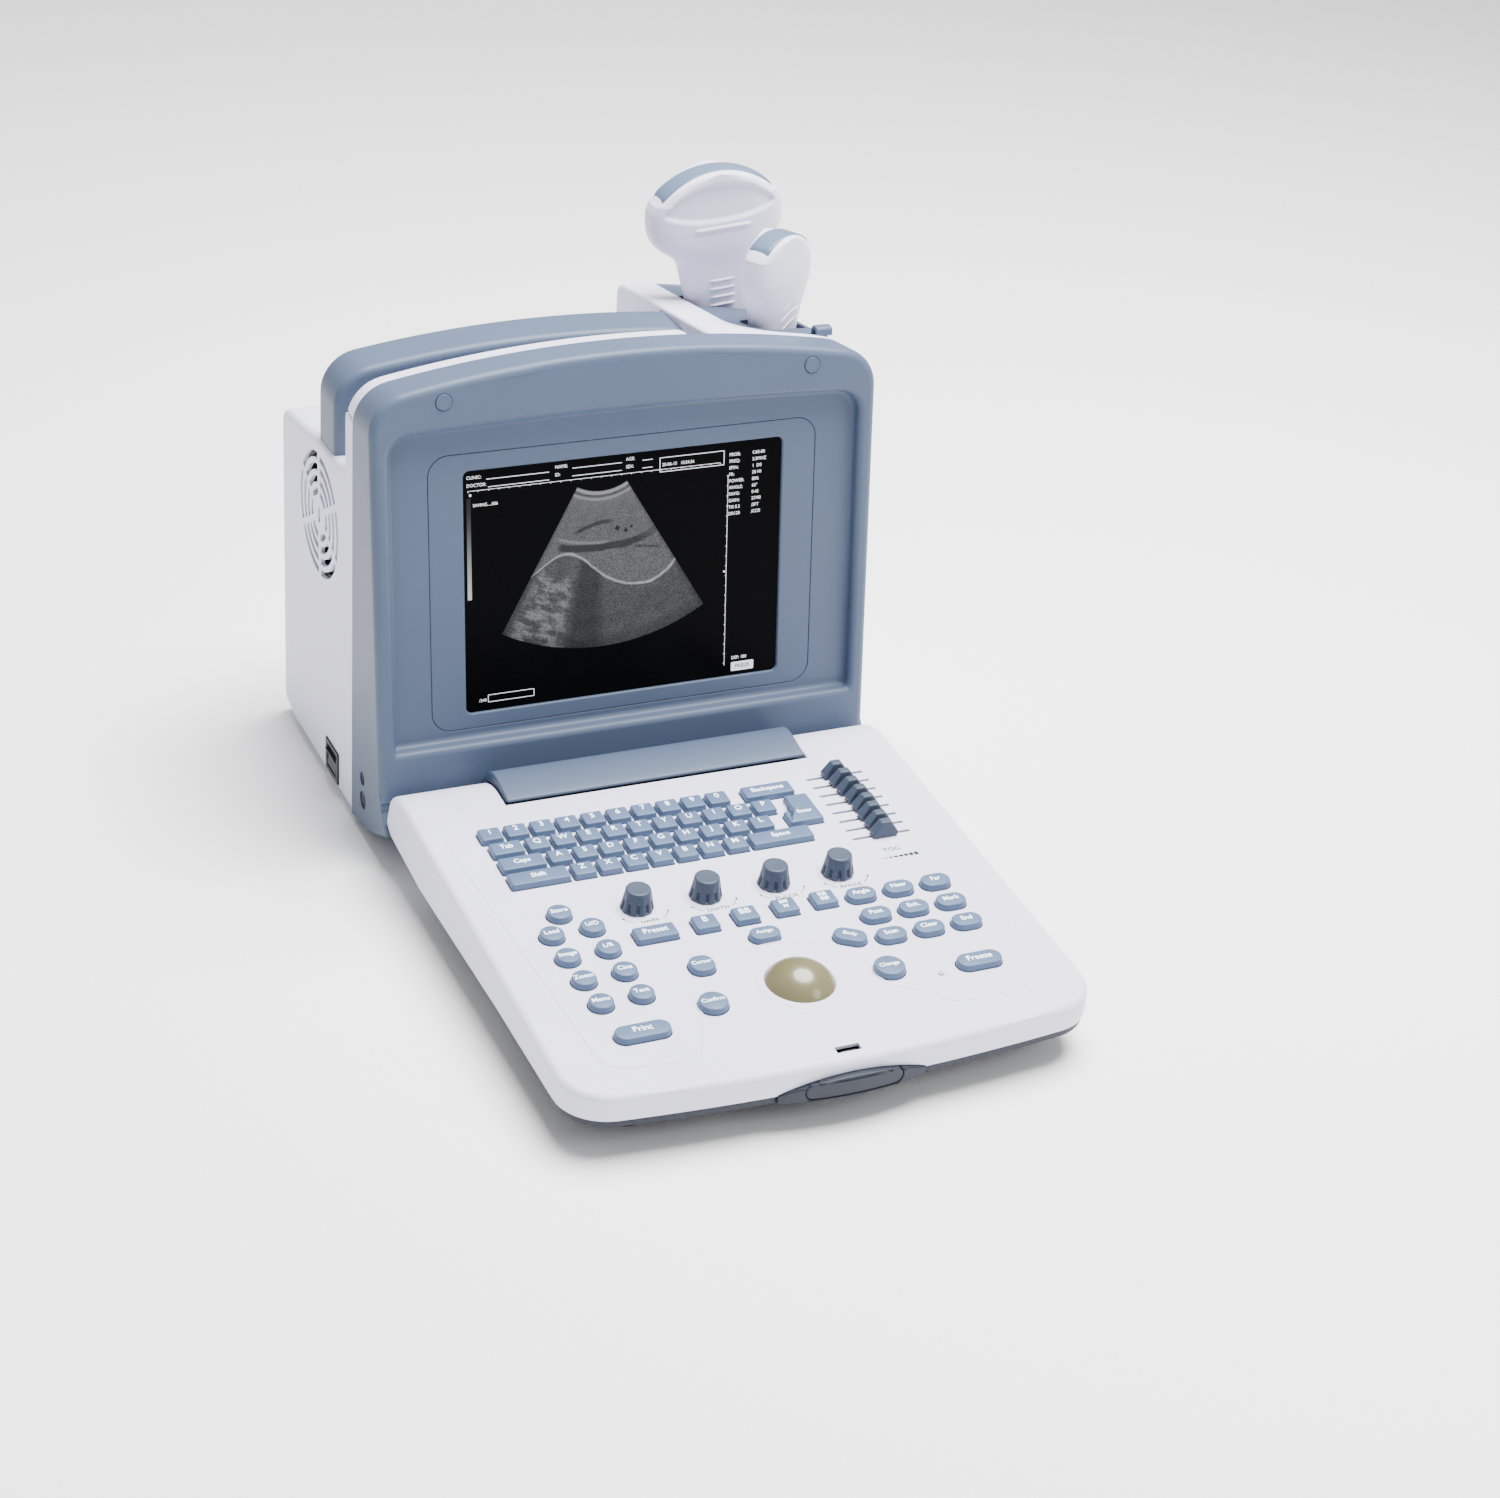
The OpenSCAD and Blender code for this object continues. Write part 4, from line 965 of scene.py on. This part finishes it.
# ---- probes ----
# Stacked superellipses: rows of (height, half width, half depth, exponent) joined smoothly, the top
# following a circle. dents(x, y, z) then moves the skin in or out along y.
def probeSkin(probe, dents, count):
    rows, top = np.asarray(probe["rows"], float), probe["top"]
    shoulder = rows[-1, 0]
    reach = math.acos((shoulder - top["centre"]) / top["radius"])
    domeTurn = np.linspace(reach, 0.012, 34)
    dome = top["centre"] + top["radius"] * np.cos(domeTurn)
    height = np.concatenate([np.arange(rows[0, 0], shoulder, 0.8), dome])
    sides = [np.interp(height, rows[:, 0], rows[:, column]) for column in (1, 2, 3)]
    smoothing = np.exp(-np.linspace(-2, 2, 11) ** 2)
    smoothing /= smoothing.sum()
    sides = [np.convolve(np.pad(side, 5, "edge"), smoothing, "valid") for side in sides]
    inDome = height > shoulder
    arch = np.sqrt(np.maximum(top["radius"] ** 2 - (height - top["centre"]) ** 2, 0.01))
    sides[0] = np.where(inDome, arch, sides[0])
    ringsXY = np.stack([superRing(a, b, n, count) for a, b, n in zip(*sides)])
    rings = np.concatenate([ringsXY, np.repeat(height[:, None, None], count, 1)], -1)
    rings[..., 1] += dents(rings[..., 0], rings[..., 1], rings[..., 2])
    return loft(rings)


def ramp(value, low, high):
    share = np.clip((value - low) / (high - low), 0, 1)
    return share * share * (3 - 2 * share)


bigProbe = {"rows": [(-30, 18.8, 12.5, 2.6), (0, 21.8, 13, 2.6), (14, 24.6, 13.2, 2.6), (22, 26.0, 13.4, 2.7),
                     (28, 28.6, 13.8, 2.8), (32, 33.5, 14.2, 2.9), (36, 39.5, 14.6, 3.0), (41, 44.0, 14.9, 3.2),
                     (48, 46.2, 15.0, 3.4), (56, 46.6, 15.0, 3.5), (63, 45.8, 14.8, 3.6), (68, 43.0, 14.4, 3.8)],
            "top": {"centre": 28.0, "radius": 58.2}, "seat": (113, 186, 297), "lean": 5.0, "turn": 0.0}


# oval dish in the front and the back faces, under an arc that follows the lens, and a fine joint line
def bigDents(x, y, z):
    arcTop = bigProbe["top"]["centre"] + np.sqrt(np.maximum(53.0 ** 2 - x ** 2, 0.0))
    ovalLow = 66.0 - 12.5 * np.sqrt(np.maximum(1 - (x / 42.0) ** 2, 0.0))
    inside = ramp(arcTop - z, 0.0, 3.0) * ramp(z - ovalLow, 0.0, 3.0) * ramp(40.0 - np.abs(x), 0.0, 4.0)
    joint = np.exp(-((z - 46.8) / 0.5) ** 2) * 0.25
    flat = ramp(np.abs(y), 6.0, 10.0)
    waist = ramp(36.0 - np.abs(z - 8), 0.0, 26.0) * ramp(18 - np.abs(x), 0, 8) * 0.8
    return -np.sign(y) * flat * (2.6 * inside + joint + waist)


# a probe's own millimetres, leaned in its own plane, turned and set in its well
def seated(part, probe):
    a, b = math.radians(probe["lean"]), math.radians(probe["turn"])
    x, y, z = part[0].T
    x, z = x * math.cos(a) - z * math.sin(a), x * math.sin(a) + z * math.cos(a)
    x, y = x * math.cos(b) - y * math.sin(b), x * math.sin(b) + y * math.cos(b)
    return upright(np.stack([x, y, z], 1) + probe["seat"]), part[1]


addPiece("convex_probe_shell", seated(probeSkin(bigProbe, bigDents, 96), bigProbe), "convex_probe",
         "white_plastic", ["convex_probe_body"])


# rounded rubber strip bent round a circle: its section is a superellipse, its ends taper a little
def lensStrip(radius, centre, half, degrees, thick, count):
    turn = np.radians(np.linspace(-degrees, degrees, count))
    section = superRing(half, thick, 5.0, 32)
    fade = np.clip(np.minimum(np.arange(count), np.arange(count)[::-1]) / 1.5, 0.35, 1) ** 0.5
    out = radius - thick + section[None, :, 1] * fade[:, None]
    across = section[None, :, 0] * (0.96 + 0.04 * fade[:, None])
    rings = np.stack([np.sin(turn)[:, None] * out, across, centre + np.cos(turn)[:, None] * out], -1)
    return loft(rings)


addPiece("convex_probe_face", seated(lensStrip(59.0, 28.0, 8.4, 42.0, 2.4, 40), bigProbe), "convex_probe",
         "probe_lens", ["convex_probe_lens"], weld=True)


# low rounded rib on the front skin of a probe: a bead along a line of (x, z), standing on y = -depth
def rib(line, depth, width, height):
    points, faces = bead(line, width, height)
    return np.stack([points[:, 0], -depth - points[:, 2], points[:, 1]], -1), faces


def straight(x0, x1, z, steps=12):
    return np.stack([np.linspace(x0, x1, steps), np.full(steps, z)], -1)


ribs = [rib(straight(-20, 21, 50.4, 30), 14.4, 3.0, 1.9)]
ribs += [rib(straight(-9, 9.5, 13.6 - 5.6 * step), 12.2, 1.7, 1.5) for step in range(4)]
addPiece("convex_probe_ribs", seated(joined(ribs), bigProbe), "convex_probe", "white_plastic", weld=True)
markPoints, markFaces = turned([(0.1, 0), (1.5, 0.1), (1.9, 0.5), (1.7, 1.3), (1.0, 1.9), (0.1, 2.1)], 24)
markPoints = np.stack([markPoints[:, 2] + 44.9, markPoints[:, 0] - 4.0, markPoints[:, 1] + 58.0], -1)
addPiece("convex_probe_mark", seated((markPoints, markFaces), bigProbe), "convex_probe", "white_plastic",
         weld=True)

smallProbe = {"rows": [(-34, 16.8, 9.6, 2.6), (-12, 18.8, 9.8, 2.6), (2, 21.2, 10, 2.6), (12, 24.0, 10.6, 2.7),
                       (22, 26.8, 11.4, 2.9), (30, 27.9, 12, 3.2), (38, 27.5, 12, 3.4), (45, 26.0, 11.8, 3.6)],
              "top": {"centre": 27.0, "radius": 32.2}, "seat": (127, 124, 299), "lean": 0.0, "turn": 28.0}


def smallDents(x, y, z):
    joint = np.exp(-((z - (24 + 0.28 * x)) / 0.5) ** 2) * 0.22
    return -np.sign(y) * ramp(np.abs(y), 5.0, 8.5) * joint


addPiece("small_probe_shell", seated(probeSkin(smallProbe, smallDents, 80), smallProbe), "small_probe",
         "white_plastic", ["small_probe_body"])
addPiece("small_probe_face", seated(lensStrip(32.9, 27.0, 7.8, 41.0, 2.0, 32), smallProbe), "small_probe",
         "probe_lens", ["small_probe_lens"], weld=True)
sweep = np.linspace(0, 1, 16)
curves = [np.stack([-6 + 19 * sweep, 9 - 6.6 * step + 7.5 * np.sin(sweep * np.pi / 2)], -1) for step in range(3)]
ribs = [rib(curve, 10.2, 1.3, 0.75) for curve in curves]
addPiece("small_probe_ribs", seated(joined(ribs), smallProbe), "small_probe", "white_plastic", weld=True)
print("probes done")


# ---- tray hook ----
def hookPiece():
    look = {"x": (142.4, 153.6), "thick": 3.2}
    spine = filleted([(98.2, 292), (98.2, 303.4), (91.5, 303.4), (91.5, 299.6)], 4.0, 8, closed=False)
    along = np.gradient(spine, axis=0)
    along /= np.linalg.norm(along, axis=1)[:, None]
    side = np.stack([along[:, 1], -along[:, 0]], -1)
    section = roundedBox(look["x"][1] - look["x"][0], look["thick"], 1.0, 4)
    middleX = sum(look["x"]) / 2
    rings = np.empty((len(spine), len(section), 3))
    rings[..., 0] = middleX + section[None, :, 0]
    rings[..., 1:] = spine[:, None] + side[:, None] * section[None, :, 1:2]
    points, faces = loft(rings)
    return upright(points), faces


addPiece("tray_hook", hookPiece(), "main_unit", "blue_grey_plastic", ["cable_hook"], weld=True)

# ---- floor, light and camera ----
bpy.data.objects.remove(textObject)
floorMesh = bpy.data.meshes.new("studio_floor")
floorMesh.from_pydata([(-6, -6, 0), (6, -6, 0), (6, 6, 0), (-6, 6, 0)], [], [(0, 1, 2, 3)])
floorMesh.materials.append(Finish("studio floor", Base_Color=(0.97, 0.97, 0.97, 1), Roughness=0.9).material)
floor = bpy.data.objects.new("studio_floor", floorMesh)
bpy.context.scene.collection.objects.link(floor)

world = bpy.data.worlds.new("studio")
bpy.context.scene.world = world
world.use_nodes = True
world.node_tree.nodes["Background"].inputs["Color"].default_value = (0.97, 0.97, 1.0, 1)
world.node_tree.nodes["Background"].inputs["Strength"].default_value = 0.62


def softBox(name, position, target, size, watts, colour=(1, 1, 1)):
    lamp = bpy.data.lights.new(name, "AREA")
    lamp.shape, lamp.size, lamp.energy, lamp.color = "DISK", size, watts, colour
    box = bpy.data.objects.new(name, lamp)
    box.location = position
    box.rotation_euler = (Vector(target) - Vector(position)).to_track_quat("-Z", "Y").to_euler()
    bpy.context.scene.collection.objects.link(box)


softBox("overhead", (0.45, 0.1, 2.0), (0.0, 0.0, 0.1), 1.6, 190)
softBox("front right", (1.2, -1.6, 1.3), (0.0, -0.05, 0.15), 0.9, 12)

camera = bpy.data.objects.new("camera", bpy.data.cameras.new("camera"))
camera.data.lens, camera.data.sensor_width = 71.09, 36.0
camera.location = (-0.6574, -1.5057 + lineY * mm, 0.9801)
camera.rotation_euler = tuple(math.radians(a) for a in (61.057, -3.818, -23.789))
bpy.context.scene.collection.objects.link(camera)
bpy.context.scene.camera = camera
